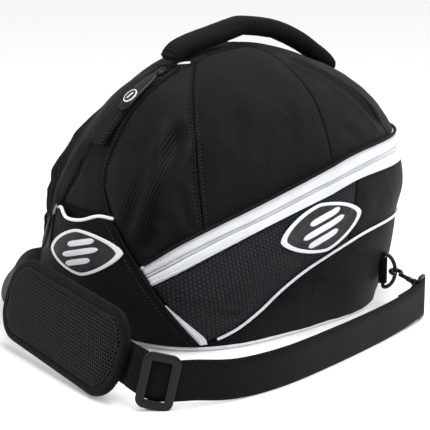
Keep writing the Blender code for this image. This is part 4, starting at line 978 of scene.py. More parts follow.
def pocket_places(across, height):
    return wall_points(pocket_side(height) * (2 * across - 1), height)


POCKET_CLOTH = woven_finish(
    "ribbed_black_polyester", (0.0008, 0.0008, 0.0010), (0.008, 0.008, 0.009), 0.55, 0.0026, 0.70, 0.0006
)
pocket_across = spaced(0.21)[None, :]
pocket_levels = pocket_foot + (rim_at(pocket_across) - pocket_foot) * spaced(0.12)[:, None]
cloth_panel(
    "front_pocket", pocket_places(pocket_across, pocket_levels), crown=0.0008, plain="t", room=0.02,
    lift=pocket_lift(pocket_across, pocket_levels), wall=POCKET_WALL, material=POCKET_CLOTH,
    slot="black_polyester",
)
across = np.linspace(0, 1, 90)
rim_points = pocket_places(across, rim_at(across) + (PIPING / 2 + 2 * CLEAR) / HEIGHT)
stand = np.maximum(pocket_lift(across, rim_at(across)) - POCKET_WALL / 2, PIPING / 2 + CLEAR)
rim_points += outward(rim_points) * (stand - drawn_in(rim_points))[:, None]
tube("pocket_cord", rim_points, PIPING / 2, ["pocket_piping"], WHITE_TRIM)
for label, side in SIDES:
    heights = np.linspace(pocket_foot + BINDING / HEIGHT, POCKET_TOP - 0.030, 70)
    seam = wall_points(side * pocket_side(heights), heights)
    seam += outward(seam) * (POCKET_WALL + 3 * CLEAR + BINDING / 2 - drawn_in(seam))[:, None]
    tube(
        f"pocket_bound_edge_{label}", seam, BINDING / 2, [f"pocket_binding_{label}"], BLACK_CLOTH,
    )


def angle_of(points):
    front, rear, width, _, taper = ring_at(points[..., 2] / HEIGHT)
    middle, half = depth_of(front, rear)
    v = (points[..., 1] - middle) / half
    u = points[..., 0] / (HALF_WIDTH * width * (1 - taper * np.maximum(0.0, -v)))
    return np.degrees(np.arctan2(u, -v))


def pocket_face(x, z):
    """The pocket's outer face at distances from the middle plane and heights, and its normals."""
    points = skin_along(stacked(x, CORE[1], z), (0, -1.0, 0))
    across = (angle_of(points) / pocket_side(z / HEIGHT) + 1) / 2
    normal = outward(points)
    stand = pocket_lift(across, z / HEIGHT) - drawn_in(points)
    return points + normal * stand[..., None], normal


def moulded_finish(name, dark, light, roughness, depth=0.00006, **fixed):
    """Moulded plastic, rubber or plated metal: faint mottle and a very fine grain."""
    made = Finish(name, roughness, 0.012, Specular_IOR_Level=0.20, **fixed)
    made.colour(dark, light, made.slow)
    made.bump(made.fine, depth)
    return made.material


GREY_METAL = moulded_finish("grey_zinc", (0.10, 0.10, 0.105), (0.24, 0.24, 0.25), 0.35, Metallic=0.9)
RUBBER = moulded_finish("black_rubber", (0.003, 0.003, 0.0035), (0.010, 0.010, 0.011), 0.36)
SMALL_SLIDER, SMALL_PULLER, SMALL_PULLER_WIDTH, DROP_HALF = 0.009, 0.036, 0.008, 0.0013
peak = pocket_places(np.array(0.05), rim_at(0.05))
ring_wire = SMALL_SLIDER * 0.26
ring_stand = PIPING / 2 - POCKET_WALL / 2 + 4 * CLEAR + ring_wire / 2
turn = np.linspace(0, 2 * math.pi, 32, endpoint=False)
face, normal = pocket_face(
    peak[0] + np.cos(turn) * SMALL_SLIDER / 2, peak[2] + np.sin(turn) * SMALL_SLIDER / 2
)
slider_ring = face + normal * ring_stand
tube("pocket_slider_ring", slider_ring, ring_wire / 2, ["pocket_slider"], GREY_METAL, ring=True)


def rounded(turn, power):
    """Both coordinates of a unit square's rounded outline at turns round it."""
    c, s = np.cos(turn), np.sin(turn)
    reach = (np.abs(c) ** power + np.abs(s) ** power) ** (-1 / power)
    return c * reach, s * reach


def bar(name, middles, across, up, nodes, material, slot="", sides=20, power=2.6, ring=False,
        start=0.5, sharp=60):
    """A solid bar of rounded section, from its middles and its half width and height vectors."""
    u, v = rounded(2 * math.pi * (np.arange(sides) + start) / sides, power)
    sections = middles[:, None] + across[:, None] * u[:, None] + up[:, None] * v[:, None]
    return lofted(name, sections, nodes, material, slot, ring, sharp)


def end_rounding(shares, flat, depth, least):
    """The share of its full size that a bar keeps towards its two round ends."""
    past = np.maximum(np.abs(2 * shares - 1) - flat, 0)
    return np.sqrt(np.clip(1 - past ** 2 / depth, least, 1))


DROP_SHAPE = ((0.0, 0.30), (0.15, 0.42), (0.6, 1.0), (0.85, 0.90), (1.0, 0.45))
ring_low = slider_ring[24]
for letter, sway, level in (("a", -0.06, 0), ("b", -0.36, 1)):
    shares = np.linspace(0, 1, 30)
    face, normal = pocket_face(
        ring_low[0] + sway * SMALL_PULLER * shares,
        ring_low[2] - ring_wire / 2 - 4 * CLEAR - SMALL_PULLER * shares,
    )
    widths = SMALL_PULLER_WIDTH * smooth(DROP_SHAPE, shares)[:, 0]
    sway_way = np.cross(normal, (0, 0, 1.0))
    stand = 2 * CLEAR + DROP_HALF + level * (2 * DROP_HALF + CLEAR)
    round_end = end_rounding(shares, 0.86, 0.0225, 0.05)
    bar(
        f"pocket_pull_{letter}", face + normal * stand, sway_way * (widths * round_end / 2)[:, None],
        normal * (DROP_HALF * round_end)[:, None], [f"pocket_puller_{letter}"], RUBBER,
    )

# Badges: thin moulded plates of lozenge outline with a raised white rim round a plain black field,
# glued to the pocket, to both sides and to the main pull.
BADGE_THICK, BADGE_SIDES = 0.0009, 96


def badge_finish():
    made = Finish("badge_plastic", 0.50, 0.01, Specular_IOR_Level=0.08)
    split = made.tree.nodes.new("ShaderNodeSeparateXYZ")
    made.tree.links.new(made.cloth.outputs[0], split.inputs[0])
    white = made.math("GREATER_THAN", split.outputs[0], 0.875)
    shade = made.math("MULTIPLY_ADD", made.slow, 0.08, made.math("MULTIPLY", white, 0.92))
    made.colour((0.0025, 0.0025, 0.003), (0.80, 0.81, 0.84), shade)
    made.bump(made.fine, 0.00005)
    return made.material


BADGE_PLASTIC = badge_finish()


def points_to_uv(mesh, flat):
    """Gives each corner of a mesh the UV of its point."""
    index = np.empty(len(mesh.loops), int)
    mesh.loops.foreach_get("vertex_index", index)
    layer = mesh.uv_layers.get("cloth") or mesh.uv_layers.new(name="cloth")
    layer.data.foreach_set("uv", flat[index].ravel())


def badge(name, width, height, seat, node, slot, power=1.5, stripes=(-1, 0, 1)):
    """A plate whose UV is the share of the way from its middle to its rim."""
    shares = np.array((0.02, 0.2, 0.4, 0.6, 0.8, 0.86, 0.875, 0.89, 0.97, 1.0, 1.0))
    lifts = np.array((0, 0, 0, 0, 0, 0, 0.1, 0.35, 0.35, 0.1, -1.0)) * BADGE_THICK
    u, v = rounded(np.linspace(0, 2 * math.pi, BADGE_SIDES, endpoint=False), power)
    face, normal = seat(shares[:, None] * u * width / 2, shares[:, None] * v * height / 2)
    sections = face + normal * (CLEAR + BADGE_THICK + lifts)[:, None, None]
    thing = lofted(name, sections, [node], BADGE_PLASTIC, slot, sharp=40)
    row_of = np.repeat(shares, BADGE_SIDES)
    points_to_uv(thing.data, np.stack([row_of, np.zeros_like(row_of)], -1))
    for k in stripes:
        length = 0.86 - 0.24 * abs(k)
        run = np.linspace(-1, 1, 24)
        p = run * width * 0.30 * length + k * width * 0.03
        q = run * height * 0.10 * length + k * height * 0.21
        face, normal = seat(p, q)
        middles = face + normal * (CLEAR + BADGE_THICK + 0.0001)
        across = unit(np.cross(normal, np.gradient(middles, axis=0)))
        taper = np.sqrt(np.clip(1 - np.abs(run) ** 6, 0.02, 1))[:, None]
        bar(
            f"{name}_stripe_{'abc'[k + 1]}", middles, across * height * 0.065 * taper,
            normal * 0.00035, [], WHITE_TRIM, sides=10, power=4,
        )


# Of a badge: its middle along and above the panel, its slope, its width and its height
POCKET_BADGE = (0.010, HEIGHT * 0.315, math.radians(7), 0.106, 0.046)
SIDE_BADGE = (REAR * -0.010, HEIGHT * 0.385, math.radians(8.7), 0.112, 0.050)
SIDE_CROWN = 0.0030


def sloped(place, p, q):
    """Places on a panel from places along and across a sloping badge."""
    c, s = math.cos(place[2]), math.sin(place[2])
    return place[0] + p * c - q * s, place[1] + p * s + q * c


def pocket_seat(p, q):
    return pocket_face(*sloped(POCKET_BADGE, p, q))


def side_seat(side, p, q):
    y, z = sloped(SIDE_BADGE, p, q)
    points = skin_along(stacked(0, y, z), (side, 0, 0))
    normal = outward(points)
    return points + normal * (SIDE_CROWN + CLEAR - drawn_in(points))[..., None], normal


badge("pocket_badge_plate", *POCKET_BADGE[3:], pocket_seat, "pocket_emblem", "black_acetal")
for label, side in SIDES:
    badge(
        f"side_badge_plate_{label}", *SIDE_BADGE[3:], functools.partial(side_seat, side),
        f"side_emblem_{label}", "black_acetal",
    )

# Main zip: a stiffened flap that stands off the strip over the zip, the slider under its upper end,
# and a long moulded rubber pull lying down its middle.
FLAP_WIDTH, FLAP_LIFT, FLAP_THICK, FLAP_FROM, FLAP_TO = 0.024, 0.0075, 0.0022, 24.0, 54.0
PULLER_WIDTH, PULLER_THICK, PULLER_FROM, PULLER_LEAD, PULLER_SWAY = 0.015, 0.0034, 36.0, 0.15, 0.004
PULLER_SHAPE = ((0, 0.45), (0.05, 0.74), (0.16, 1.0), (0.5, 1.0), (0.8, 0.86), (0.93, 0.62), (1, 0.44))
X_AXIS = np.array((1.0, 0.0, 0.0))


def flap_top(lean):
    open_share = np.clip((FLAP_TO - lean) / (FLAP_TO - FLAP_FROM), 0, 1)
    return CLEAR + FLAP_THICK + FLAP_LIFT * open_share ** 1.3


flap_leans = FLAP_FROM + (FLAP_TO - FLAP_FROM) * spaced(0.09, 0.002)
flap_x = FLAP_WIDTH / 2 * np.linspace(-1, 1, 21)
cloth_panel(
    "zip_flap", strip_points(flap_x[None, :], flap_leans[:, None]), crown=0.0006, room=0.004,
    lift=flap_top(flap_leans)[:, None], wall=FLAP_THICK, crease=0.5,
)


def along_strip(x, lean, width, low, high):
    """Middles and half ways of a bar lying along the strip, between two heights over it."""
    points = strip_points(x, lean)
    normal = outward(points)
    across = np.cross(np.cross(normal, X_AXIS), normal)
    middle = points + normal * ((low + high) / 2)[:, None]
    return middle, across * (width / 2)[:, None], normal * ((high - low) / 2)[:, None]


puller_to = FLAP_TO - PULLER_LEAD
shares = np.linspace(0, 1, 48)
leans = PULLER_FROM + (puller_to - PULLER_FROM) * shares
base = flap_top(leans) + CLEAR
widths = PULLER_WIDTH * smooth(PULLER_SHAPE, shares)[:, 0]
round_end = end_rounding(shares, 0.9, 0.0104, 0.06)
bar(
    "main_pull", *along_strip(PULLER_SWAY * (2.2 - 1.2 * shares), leans, widths * round_end, base,
                              base + PULLER_THICK * (0.6 + 0.4 * round_end)),
    ["main_puller"], RUBBER, sides=28,
)


def pull_seat(p, q):
    """The pull's face at places along and across it."""
    along = 0.30 + p / 0.088
    lean = PULLER_FROM + (puller_to - PULLER_FROM) * along
    points = strip_points(PULLER_SWAY * (2.2 - 1.2 * along) + q, lean)
    normal = outward(points)
    return points + normal * (flap_top(lean) + CLEAR + PULLER_THICK)[..., None], normal


badge("pull_badge", 0.026, 0.0115, pull_seat, "puller_badge", "white_piping", power=2.0, stripes=(0,))
PLASTIC = moulded_finish("black_acetal", (0.003, 0.003, 0.0035), (0.010, 0.010, 0.011), 0.36)
SLIDER_SHAPE = ((0.0, 0.70), (0.2, 1.0), (0.5, 0.85), (0.8, 1.0), (1.0, 0.60))
shares = np.linspace(0, 1, 24)
sizes = smooth(SLIDER_SHAPE, shares)[:, 0]
SLIDER_SPAN, SLIDER_WIDTH, SLIDER_HEIGHT = 4.0, 0.010, 0.006
leans = FLAP_TO + PULLER_LEAD + SLIDER_SPAN * shares
bar(
    "main_zip_slider",
    *along_strip(
        PULLER_SWAY, leans, SLIDER_WIDTH * sizes, np.full(24, CLEAR), CLEAR + SLIDER_HEIGHT * sizes
    ),
    ["main_slider"], PLASTIC,
)
CORD_RADIUS, TAG_LIFT, TAG_HALF_WIDTH, TAG_HALF_THICK = 0.0008, 0.0032, 0.0019, 0.0005
cord = strip_points(np.linspace(0.004, 0.009, 20), np.linspace(58.0, 63.0, 20))
cord += outward(cord) * (0.0030 + 0.0025 * np.sin(np.linspace(0, math.pi, 20)))[:, None]
tube("tag_cord", cord, CORD_RADIUS, [], BLACK_CLOTH, sides=8)
tag = strip_points(np.linspace(0.0085, 0.0185, 16), np.linspace(62.6, 65.2, 16))
tag_normal = outward(tag)
tag_across = unit(np.cross(tag_normal, np.gradient(tag, axis=0)))
bar(
    "white_tag", tag + tag_normal * TAG_LIFT, tag_across * TAG_HALF_WIDTH, tag_normal * TAG_HALF_THICK,
    [], WHITE_TRIM, sides=12, power=4,
)

# Handle: a foam core in mesh cloth along the roof, its flattened ends sewn down under two feet.
HANDLE_WIDTH, HANDLE_THICK, HANDLE_GAP, FOOT_WIDTH, FOOT_THICK = 0.034, 0.021, 0.008, 0.040, 0.0012
HANDLE_LINE = (
    (-0.352, 0.00, 0.60), (-0.300, 0.00, 0.90), (-0.200, 0.00, 1.00), (-0.090, 0.12, 1.00),
    (0.050, 0.55, 1.00), (0.210, 0.98, 1.00), (0.370, 1.00, 1.00), (0.520, 0.72, 0.98),
    (0.640, 0.20, 0.95), (0.730, 0.00, 0.86), (0.785, 0.00, 0.62),
)


def roof(along, x=0.0):
    points = skin_along(stacked(x, along, CORE[2]), (0, 0, 1.0))
    return points, outward(points)


for label, first, last in (("front", -0.365, -0.180), ("rear", 0.640, 0.800)):
    lines = REAR * (first + (last - first) * np.linspace(0, 1, 24))[:, None]
    grid, _ = roof(lines, FOOT_WIDTH / 2 * np.linspace(-1, 1, 30)[None, :])
    cloth_panel(
        f"handle_foot_{label}", grid, crown=0.0006, room=0.004, lift=CLEAR + FOOT_THICK, wall=FOOT_THICK,
        crease=0.4,
    )


def mesh_finish(name, pitch, dark, light):
    """Air mesh: a knitted face with rows of small open holes, near black from the dark foam behind them
    and from painted shade in them.
    """
    made = Finish(
        name, 0.66, 0.04, Sheen_Weight=0.02, Sheen_Roughness=0.5, Specular_IOR_Level=0.05
    )
    away = made.group(DOTS, Cloth=made.cloth.outputs[0], Pitch=pitch)["Distance"]
    # The holes are near black: dark foam behind them plus painted shade inside them.
    rim = made.eased(away, 0.34, 0.50, 0.0, 1.0)
    share = made.math("MULTIPLY", rim, made.math("MULTIPLY_ADD", made.slow, 0.5, 0.7))
    made.colour(dark, light, share)
    made.bump(made.math("MULTIPLY_ADD", made.fine, 0.2, rim), 0.0013)
    return made.material


# The first colour is the holes': dark foam plus painted shade.
MESH_CLOTH = mesh_finish("black_air_mesh", 0.0036, (0.0002, 0.0002, 0.0002), (0.034, 0.034, 0.037))
GRIP_CLOTH = mesh_finish("grip_mesh", 0.0030, (0.001, 0.001, 0.001), (0.018, 0.018, 0.019))


VOXEL, PRESSURE, FILL_STEPS = 0.004, 4.0, 20


def places_in(mesh):
    places = np.empty(len(mesh.vertices) * 3)
    mesh.vertices.foreach_get("co", places)
    return places.reshape(-1, 3)


def puffed(thing, most, flat_place):
    """Fills a padded piece with the cloth solver; flat_place gives a point's UV in metres."""
    scene = bpy.context.scene
    mesher = thing.modifiers.new("even_mesh", "REMESH")
    mesher.mode = "VOXEL"
    mesher.voxel_size = VOXEL
    even = applied(thing)
    thing.modifiers.clear()
    thing.data = even
    before = places_in(even)
    cloth = thing.modifiers.new("filling", "CLOTH")
    cloth.settings.use_pressure = True
    cloth.settings.uniform_pressure_force = PRESSURE
    cloth.settings.effector_weights.gravity = 0.0
    for step in range(1, FILL_STEPS + 1):
        scene.frame_set(step)
    after = places_in(applied(thing))
    thing.modifiers.clear()
    move = after - before
    far = np.linalg.norm(move, axis=1, keepdims=True)
    move *= np.minimum(1.0, most / np.maximum(far, 1e-9))
    even.vertices.foreach_set("co", (before + move).ravel())
    scene.frame_set(1)
    rounder = thing.modifiers.new("rounder", "SUBSURF")
    rounder.levels = rounder.render_levels = 1
    smooth_mesh = applied(thing)
    thing.modifiers.clear()
    thing.data = smooth_mesh
    smooth_mesh.shade_smooth()
    points_to_uv(smooth_mesh, flat_place(places_in(smooth_mesh)))


handle_share = np.linspace(HANDLE_LINE[0][0], HANDLE_LINE[-1][0], 90)
gap, thick = smooth(HANDLE_LINE, handle_share).T
handle_base, handle_up = roof(REAR * handle_share)
handle_up = unit(handle_up * (0, 1, 1))
handle_low = 3 * CLEAR + FOOT_THICK + HANDLE_GAP * np.maximum(gap, 0.0)
handle_half = HANDLE_THICK * thick / 2
handle_middle = handle_base + handle_up * (handle_low + handle_half)[:, None]
handle_width = HANDLE_WIDTH * (0.86 + 0.14 * thick)
grip = bar(
    "grip_padding", handle_middle, X_AXIS * (handle_width / 2 - 0.0012)[:, None],
    handle_up * (handle_half - 0.0010)[:, None], ["handle_grip"], GRIP_CLOTH, "black_polyester",
    sides=28, power=2.5,
)


def grip_place(points):
    nearest = np.abs(points[:, None, 1] - handle_middle[None, :, 1]).argmin(1)
    offset = points - handle_middle[nearest]
    high = (offset * handle_up[nearest]).sum(1)
    return np.stack([np.arctan2(points[:, 0], high) * HANDLE_WIDTH / 2, points[:, 1]], -1)


puffed(grip, 0.0025, grip_place)

# Strap hardware: at each rear corner a sewn webbing tab holds a black D-ring, into which a swivel snap
# hook is clipped, and the hook's barrel carries the square ring that the strap is sewn round.
WEB_WIDTH, WEB_THICK, TAB_WIDTH, TAB_THICK = 0.038, 0.0018, 0.028, 0.0016
RING_WIRE, HOOK_WIRE, D_RING_REACH, D_RING_HALF = 0.0042, 0.0046, 0.0135, 0.019
HOOK_PLAY, STRAP_RING_DEPTH = 0.0012, 0.012
TAB_ANGLE, TAB_LEVEL = 125.0, 0.145
STRAP_RING_PLACE = (HALF_WIDTH * 1.270, FRONT * 0.585, HEIGHT * 0.115)
# Shares of the hook's length from its eye, and of its wire's thickness
HOOK_SHAPE = (
    (1.0, 1.35), (0.97, 1.7), (0.64, 1.7), (0.61, 1.45), (0.60, 1.0), (0.57, 0.95), (0.56, 1.15),
    (0.53, 1.3), (0.38, 1.3), (0.34, 1.15), (0.33, 1.0), (0.15, 1.0),
)
# The strap's way from each ring to the pad: place, lean in degrees and rise in widths
STRAP_NEAR = (
    (1.365, 0.370, 0, 0.05), (1.440, 0.080, 0, 0.0), (1.530, -0.340, 0, 0.0),
    (1.590, -0.760, 0, 0.0), (1.565, -1.060, 0, 0.02), (1.480, -1.260, 0, 0.13),
)
STRAP_FAR = (
    (-1.345, 0.370, 6, 0.05), (-1.420, 0.080, 20, 0.0), (-1.460, -0.300, 42, 0.02),
    (-1.350, -0.620, 46, 0.24), (-1.000, -0.900, 38, 0.52), (-0.560, -1.180, 27, 0.72),
)
UP = np.array((0.0, 0.0, 1.0))
web_turn = RING_WIRE / 2 + CLEAR + WEB_THICK / 2
WEBBING = woven_finish(
    "black_webbing", (0.0008, 0.0008, 0.0010), (0.007, 0.007, 0.008), 0.55, 0.0022, 1.15, 0.0004
)
BLACK_METAL = moulded_finish(
    "black_zinc", (0.003, 0.003, 0.0035), (0.012, 0.012, 0.013), 0.30, Coat_Weight=0.2
)


def through(points, each, ring=False):
    """A smooth path through a few points."""
    points = np.asarray(points, float)
    if ring:
        points = np.concatenate([points[-2:], points, points[:3]])
    rows = np.c_[np.arange(len(points)), points]
    first, last = (2, len(points) - 3) if ring else (0, len(points) - 1)
    return smooth(rows, np.linspace(first, last, each * (last - first), endpoint=not ring))


def ribbon(name, places, width, thickness, nodes, material):
    """A flat band through places, each with its middle, the way across it and its normal."""
    u = np.array((-1, -0.985, -0.5, 0, 0.5, 0.985, 1, 1, 0.985, 0.5, 0, -0.5, -0.985, -1))
    v = np.array((-0.5, -1, -1, -1, -1, -1, -0.5, 0.5, 1, 1, 1, 1, 1, 0.5))
    sections = [
        middle + across * (u * width / 2)[:, None] + normal * (v * thickness / 2)[:, None]
        for middle, across, normal in places
    ]
    lofted(name, sections, nodes, material, sharp=60)


def ring_metal(label, side):
    """The hardware of one side; gives the strap ring's outer bar and the strap's way from it."""
    seat = wall_points(side * TAB_ANGLE, TAB_LEVEL)
    out = unit(outward(seat) * (1, 1, 0))
    along = np.cross(UP, out)
    ends = np.array([(seat[2] + TAB_WIDTH / 2 * k) / HEIGHT for k in (-1, 1)])
    seat = seat + out * ((wall_points(side * TAB_ANGLE, ends) - seat) @ out).max()
    off = RING_WIRE / 2 + CLEAR + TAB_THICK / 2
    bar_at = off + TAB_THICK / 2 + 3 * CLEAR
    places = []
    turns = [(bar_at, turn) for turn in range(-90, 91, 10)]
    for reach, turn in [(2 * CLEAR, -90)] + turns + [(2 * CLEAR, 90)]:
        c, s = math.cos(math.radians(turn)), math.sin(math.radians(turn))
        middle = seat + out * (reach + (off * c if reach == bar_at else 0)) + along * off * s
        places.append((middle, UP, out * c + along * s))
    ribbon(f"ring_tab_web_{label}", places, TAB_WIDTH, TAB_THICK, [f"ring_tab_{label}"], WEBBING)
    bar_middle = seat + out * bar_at
    bow = [bar_middle - UP * D_RING_HALF * k for k in (0.95, 0.5, 0.0, -0.5, -0.95)]
    for turn in np.radians(np.linspace(74, -74, 10)):
        bow.append(bar_middle + out * D_RING_REACH * math.cos(turn) + UP * D_RING_HALF * math.sin(turn))
    tube(
        f"d_ring_wire_{label}", through(bow, 5, True), RING_WIRE / 2, [f"d_ring_{label}"], BLACK_METAL,
        ring=True,
    )
    eye = bar_middle + out * D_RING_REACH
    near_bar = np.array(STRAP_RING_PLACE) * (side, 1, 1)
    way = unit(near_bar - eye)
    across = unit(np.cross(UP, way))
    loop = RING_WIRE / 2 + HOOK_WIRE / 2 + CLEAR + HOOK_PLAY
    middle = eye + way * HOOK_PLAY
    reach = np.linalg.norm(near_bar - middle) - RING_WIRE / 2 - 3 * CLEAR
    shank = [middle + way * (loop + (reach - loop) * k) for k, _ in HOOK_SHAPE]
    turns = np.radians(np.linspace(0, 300, 40))
    curl = [middle + way * loop * math.cos(t) + across * loop * math.sin(t) for t in turns]
    sizes = [size for _, size in HOOK_SHAPE] + [1.0] * 40
    tube(
        f"swivel_hook_{label}", shank + curl, np.array(sizes) * HOOK_WIRE / 2, [f"snap_hook_{label}"],
        BLACK_METAL, sides=16,
    )
    first = (STRAP_NEAR if side > 0 else STRAP_FAR)[0]
    inner = near_bar * (1, 1, 0)
    ahead = unit(np.array((HALF_WIDTH * first[0], FRONT * first[1], 0.0)) - inner)
    low = CLEAR + RING_WIRE / 2
    high = low + RING_WIRE + WEB_WIDTH + 4 * CLEAR
    outer = inner + ahead * STRAP_RING_DEPTH
    corner = RING_WIRE * 0.45
    loop_points = []
    for base, way_up in ((inner, 1), (outer, -1)):
        steps = [low + corner, (2 * low + high) / 3, (low + 2 * high) / 3, high - corner]
        loop_points += [base + UP * z for z in steps[::way_up]]
        top = high if way_up > 0 else low
        loop_points.append(base + UP * top + ahead * corner * way_up)
        loop_points.append(base + UP * top + ahead * (STRAP_RING_DEPTH - corner) * way_up)
    tube(
        f"strap_end_ring_{label}", through(loop_points, 4, True), RING_WIRE / 2,
        [f"strap_ring_{label}"], BLACK_METAL, ring=True,
    )
    return outer, ahead


near_bar, near_ahead = ring_metal("near", 1)
far_bar, far_ahead = ring_metal("far", -1)

# Shoulder pad: foam between air mesh, curved to the shoulder, its edge wrapped in a wide soft binding.
PAD_LENGTH, PAD_WIDTH, PAD_THICK, PAD_LEAN = 0.220, 0.084, 0.014, 19.0
PAD_CORNER, PAD_BINDING, PAD_BAND, PAD_BAND_THICK = 0.036, 0.0050, 0.0095, 0.0084
yaw, pitch, pad_lean = math.radians(-6.4), math.radians(-3.5), math.radians(PAD_LEAN)
pad_long = np.array((math.cos(yaw) * math.cos(pitch), math.sin(yaw) * math.cos(pitch), math.sin(pitch)))
pad_back = np.array((-math.sin(yaw), math.cos(yaw), 0.0))
pad_up = np.cross(pad_long, pad_back) * math.cos(pad_lean) + pad_back * math.sin(pad_lean)
pad_front = np.cross(pad_long, pad_up)
pad_drop = (PAD_LENGTH / 2 - PAD_CORNER) * abs(pad_long[2]) + PAD_BINDING / 2 * math.sin(pad_lean)
pad_middle = np.array((
    HALF_WIDTH * 0.500, FRONT * -1.437, 2 * CLEAR + PAD_WIDTH / 2 * pad_up[2] + pad_drop
))


def round_oblong(long, wide, corner, steps):
    """An oblong of two half sizes with round corners, as places along and across it."""
    points = []
    for k, (a, b) in enumerate(((1, 1), (-1, 1), (-1, -1), (1, -1))):
        for turn in np.radians(np.linspace(90 * k, 90 * k + 90, steps)):
            along = a * (long - corner) + corner * math.cos(turn)
            points.append((along, b * (wide - corner) + corner * math.sin(turn)))
    return np.array(points)


def pad_outline(inset, steps):
    """The pad's outline, drawn in by a distance."""
    corner = max(PAD_CORNER - inset, 0.001)
    return round_oblong(PAD_LENGTH / 2 - inset, PAD_WIDTH / 2 - inset, corner, steps)


def evened(points, count):
    """A closed path's points set out evenly."""
    closed = np.concatenate([points, points[:1]])
    run = run_of(closed[None], 1)[0]
    at = np.linspace(0, run[-1], count, endpoint=False)
    return np.stack([np.interp(at, run, closed[:, k]) for k in range(closed.shape[1])], -1)


def pad_points(flat, out):
    flat = np.asarray(flat)
    out = np.broadcast_to(out, flat.shape[:-1])[..., None]
    return pad_middle + flat[..., :1] * pad_long + flat[..., 1:] * pad_up + out * pad_front


pad_sections = []
for inset, half in (
    (0.060, 1.0), (0.040, 1.0), (0.030, 1.0), (0.020, 0.97), (0.012, 0.84), (0.006, 0.60),
    (0.0030, 0.40),
):
    outline = evened(pad_outline(min(inset, PAD_WIDTH / 2 - 0.002), 16), 120)
    pad_sections.append((outline, (PAD_THICK / 2 - 0.0015) * half))
pad_rings = [pad_points(outline, half) for outline, half in pad_sections]
pad_rings += [pad_points(outline, -half) for outline, half in pad_sections[::-1]]
pad = lofted("pad_cushion", pad_rings, ["shoulder_pad"], MESH_CLOTH)


def pad_place(points):
    return np.stack([(points - pad_middle) @ pad_long, (points - pad_middle) @ pad_up], -1)


puffed(pad, 0.0018, pad_place)
binding_line = evened(pad_outline(PAD_BAND / 2, 20), 220)
binding_path = pad_points(binding_line, 0.0)
ahead, _, _ = frames_along(binding_path, True)
binding_across = np.cross(ahead, pad_front)
swell = 1 + 0.05 * ripple(binding_path, 0.014, 5) + 0.04 * ripple(binding_path, 0.035, 6)
BINDING_CLOTH = woven_finish(
    "soft_binding_cloth", (0.0006, 0.0006, 0.0008), (0.005, 0.005, 0.006), 0.66, 0.0022, 1.2, 0.0004
)
bar(
    "pad_bound_edge", binding_path, binding_across * PAD_BAND / 2,
    pad_front * PAD_BAND_THICK / 2 * swell[:, None], ["pad_binding"], BINDING_CLOTH,
    "black_polyester", ring=True, start=0.0, sharp=50,
)

# Shoulder strap: 38 mm ribbed webbing from one ring, behind the pad, to the other, each end turned
# round its ring and sewn back on itself. It stands on its edge along the floor.
BEHIND_PAD = (0.54, 0.48, 0.20)
GLIDE_LENGTH, GLIDE_HEIGHT, GLIDE_THICK, GLIDE_FRAME, GLIDE_PLAY = 0.034, 0.052, 0.0036, 0.0080, 0.0005
ROUTE_STEPS, SEWN_LAYER, TURN_BLEND = 14, 0.045, 0.03


def strap_level(lean, rise):
    turn = math.radians(lean)
    return CLEAR + WEB_WIDTH * (rise + math.cos(turn) / 2) + WEB_THICK / 2 * math.sin(turn)


def route_rows(start, table, rest):
    rows = [start]
    rows += [(HALF_WIDTH * x, FRONT * y, strap_level(lean, rise), lean) for x, y, lean, rise in table]
    return [(step, *row) for step, row in enumerate(rows + rest)]


ring_level = CLEAR + RING_WIRE + 2 * CLEAR + WEB_WIDTH / 2
pad_hold = PAD_THICK / 2 + CLEAR + WEB_THICK / 2


def behind_pad(share):
    return (*pad_points(np.array((PAD_LENGTH * share, 0.0)), -pad_hold), PAD_LEAN)


near_side = near_bar - np.cross(near_ahead, UP) * web_turn
far_side = far_bar + np.cross(far_ahead, UP) * web_turn
glide_row = (HALF_WIDTH * 1.375, FRONT * -1.410, CLEAR + GLIDE_HEIGHT / 2, PAD_LEAN * 0.15)
near_route = route_rows(
    (near_side[0], near_side[1], ring_level, 0.0), STRAP_NEAR,
    [glide_row] + [behind_pad(share) for share in BEHIND_PAD],
)
far_route = route_rows(
    (far_side[0], far_side[1], ring_level, 0.0), STRAP_FAR, [behind_pad(-share) for share in BEHIND_PAD]
)


def sampled(rows):
    """Middles along a route, with the way across the webbing and its normal away from the bag."""
    last = rows[-1][0]
    places = []
    for step in np.linspace(0, last, ROUTE_STEPS * last + 1):
        values = smooth(rows, step)
        ahead = unit(smooth(rows, min(step + 0.05, last))[:3] - smooth(rows, max(step - 0.05, 0))[:3])
        away = unit(np.cross(ahead, UP))
        away *= 1 if away[:2] @ (values[:2] - CORE[:2]) > 0 else -1
        turn = math.radians(values[3])
        across = UP * math.cos(turn) - away * math.sin(turn)
        across = unit(across - ahead * (across @ ahead))
        normal = np.cross(across, ahead)
        normal *= 1 if normal @ away > 0 else -1
        places.append((values[:3], across, normal))
    return places


def wrap(bar_at, ahead, side):
    """The webbing's turn round a ring's bar, from the outer layer to the inner one."""
    outwards = np.cross(ahead, UP) * side
    places = []
    for turn in np.radians(range(15, 181, 15)):
        normal = outwards * math.cos(turn) - ahead * math.sin(turn)
        places.append((bar_at + UP * ring_level + normal * web_turn, UP, normal))
    return places


def inner_layer(places):
    """The webbing's second layer, inside the first, from its turn at the ring to its end."""
    layer, gone = [], 0.0
    for (last, _, _), (middle, across, normal) in zip(places[1:], places[2:]):
        gone += np.linalg.norm(middle - last)
        apart = max(2 * web_turn * (1 - gone / TURN_BLEND), WEB_THICK + 2 * CLEAR)
        layer.append((middle - normal * apart, across, -normal))
        if gone > SEWN_LAYER:
            break
    return layer


near_places, far_places = sampled(near_route), sampled(far_route)
whole = inner_layer(far_places)[::-1] + wrap(far_bar, far_ahead, 1)[::-1] + far_places
whole += near_places[::-1] + wrap(near_bar, near_ahead, -1) + inner_layer(near_places)
ribbon("strap_webbing", whole, WEB_WIDTH, WEB_THICK, ["shoulder_strap"], WEBBING)

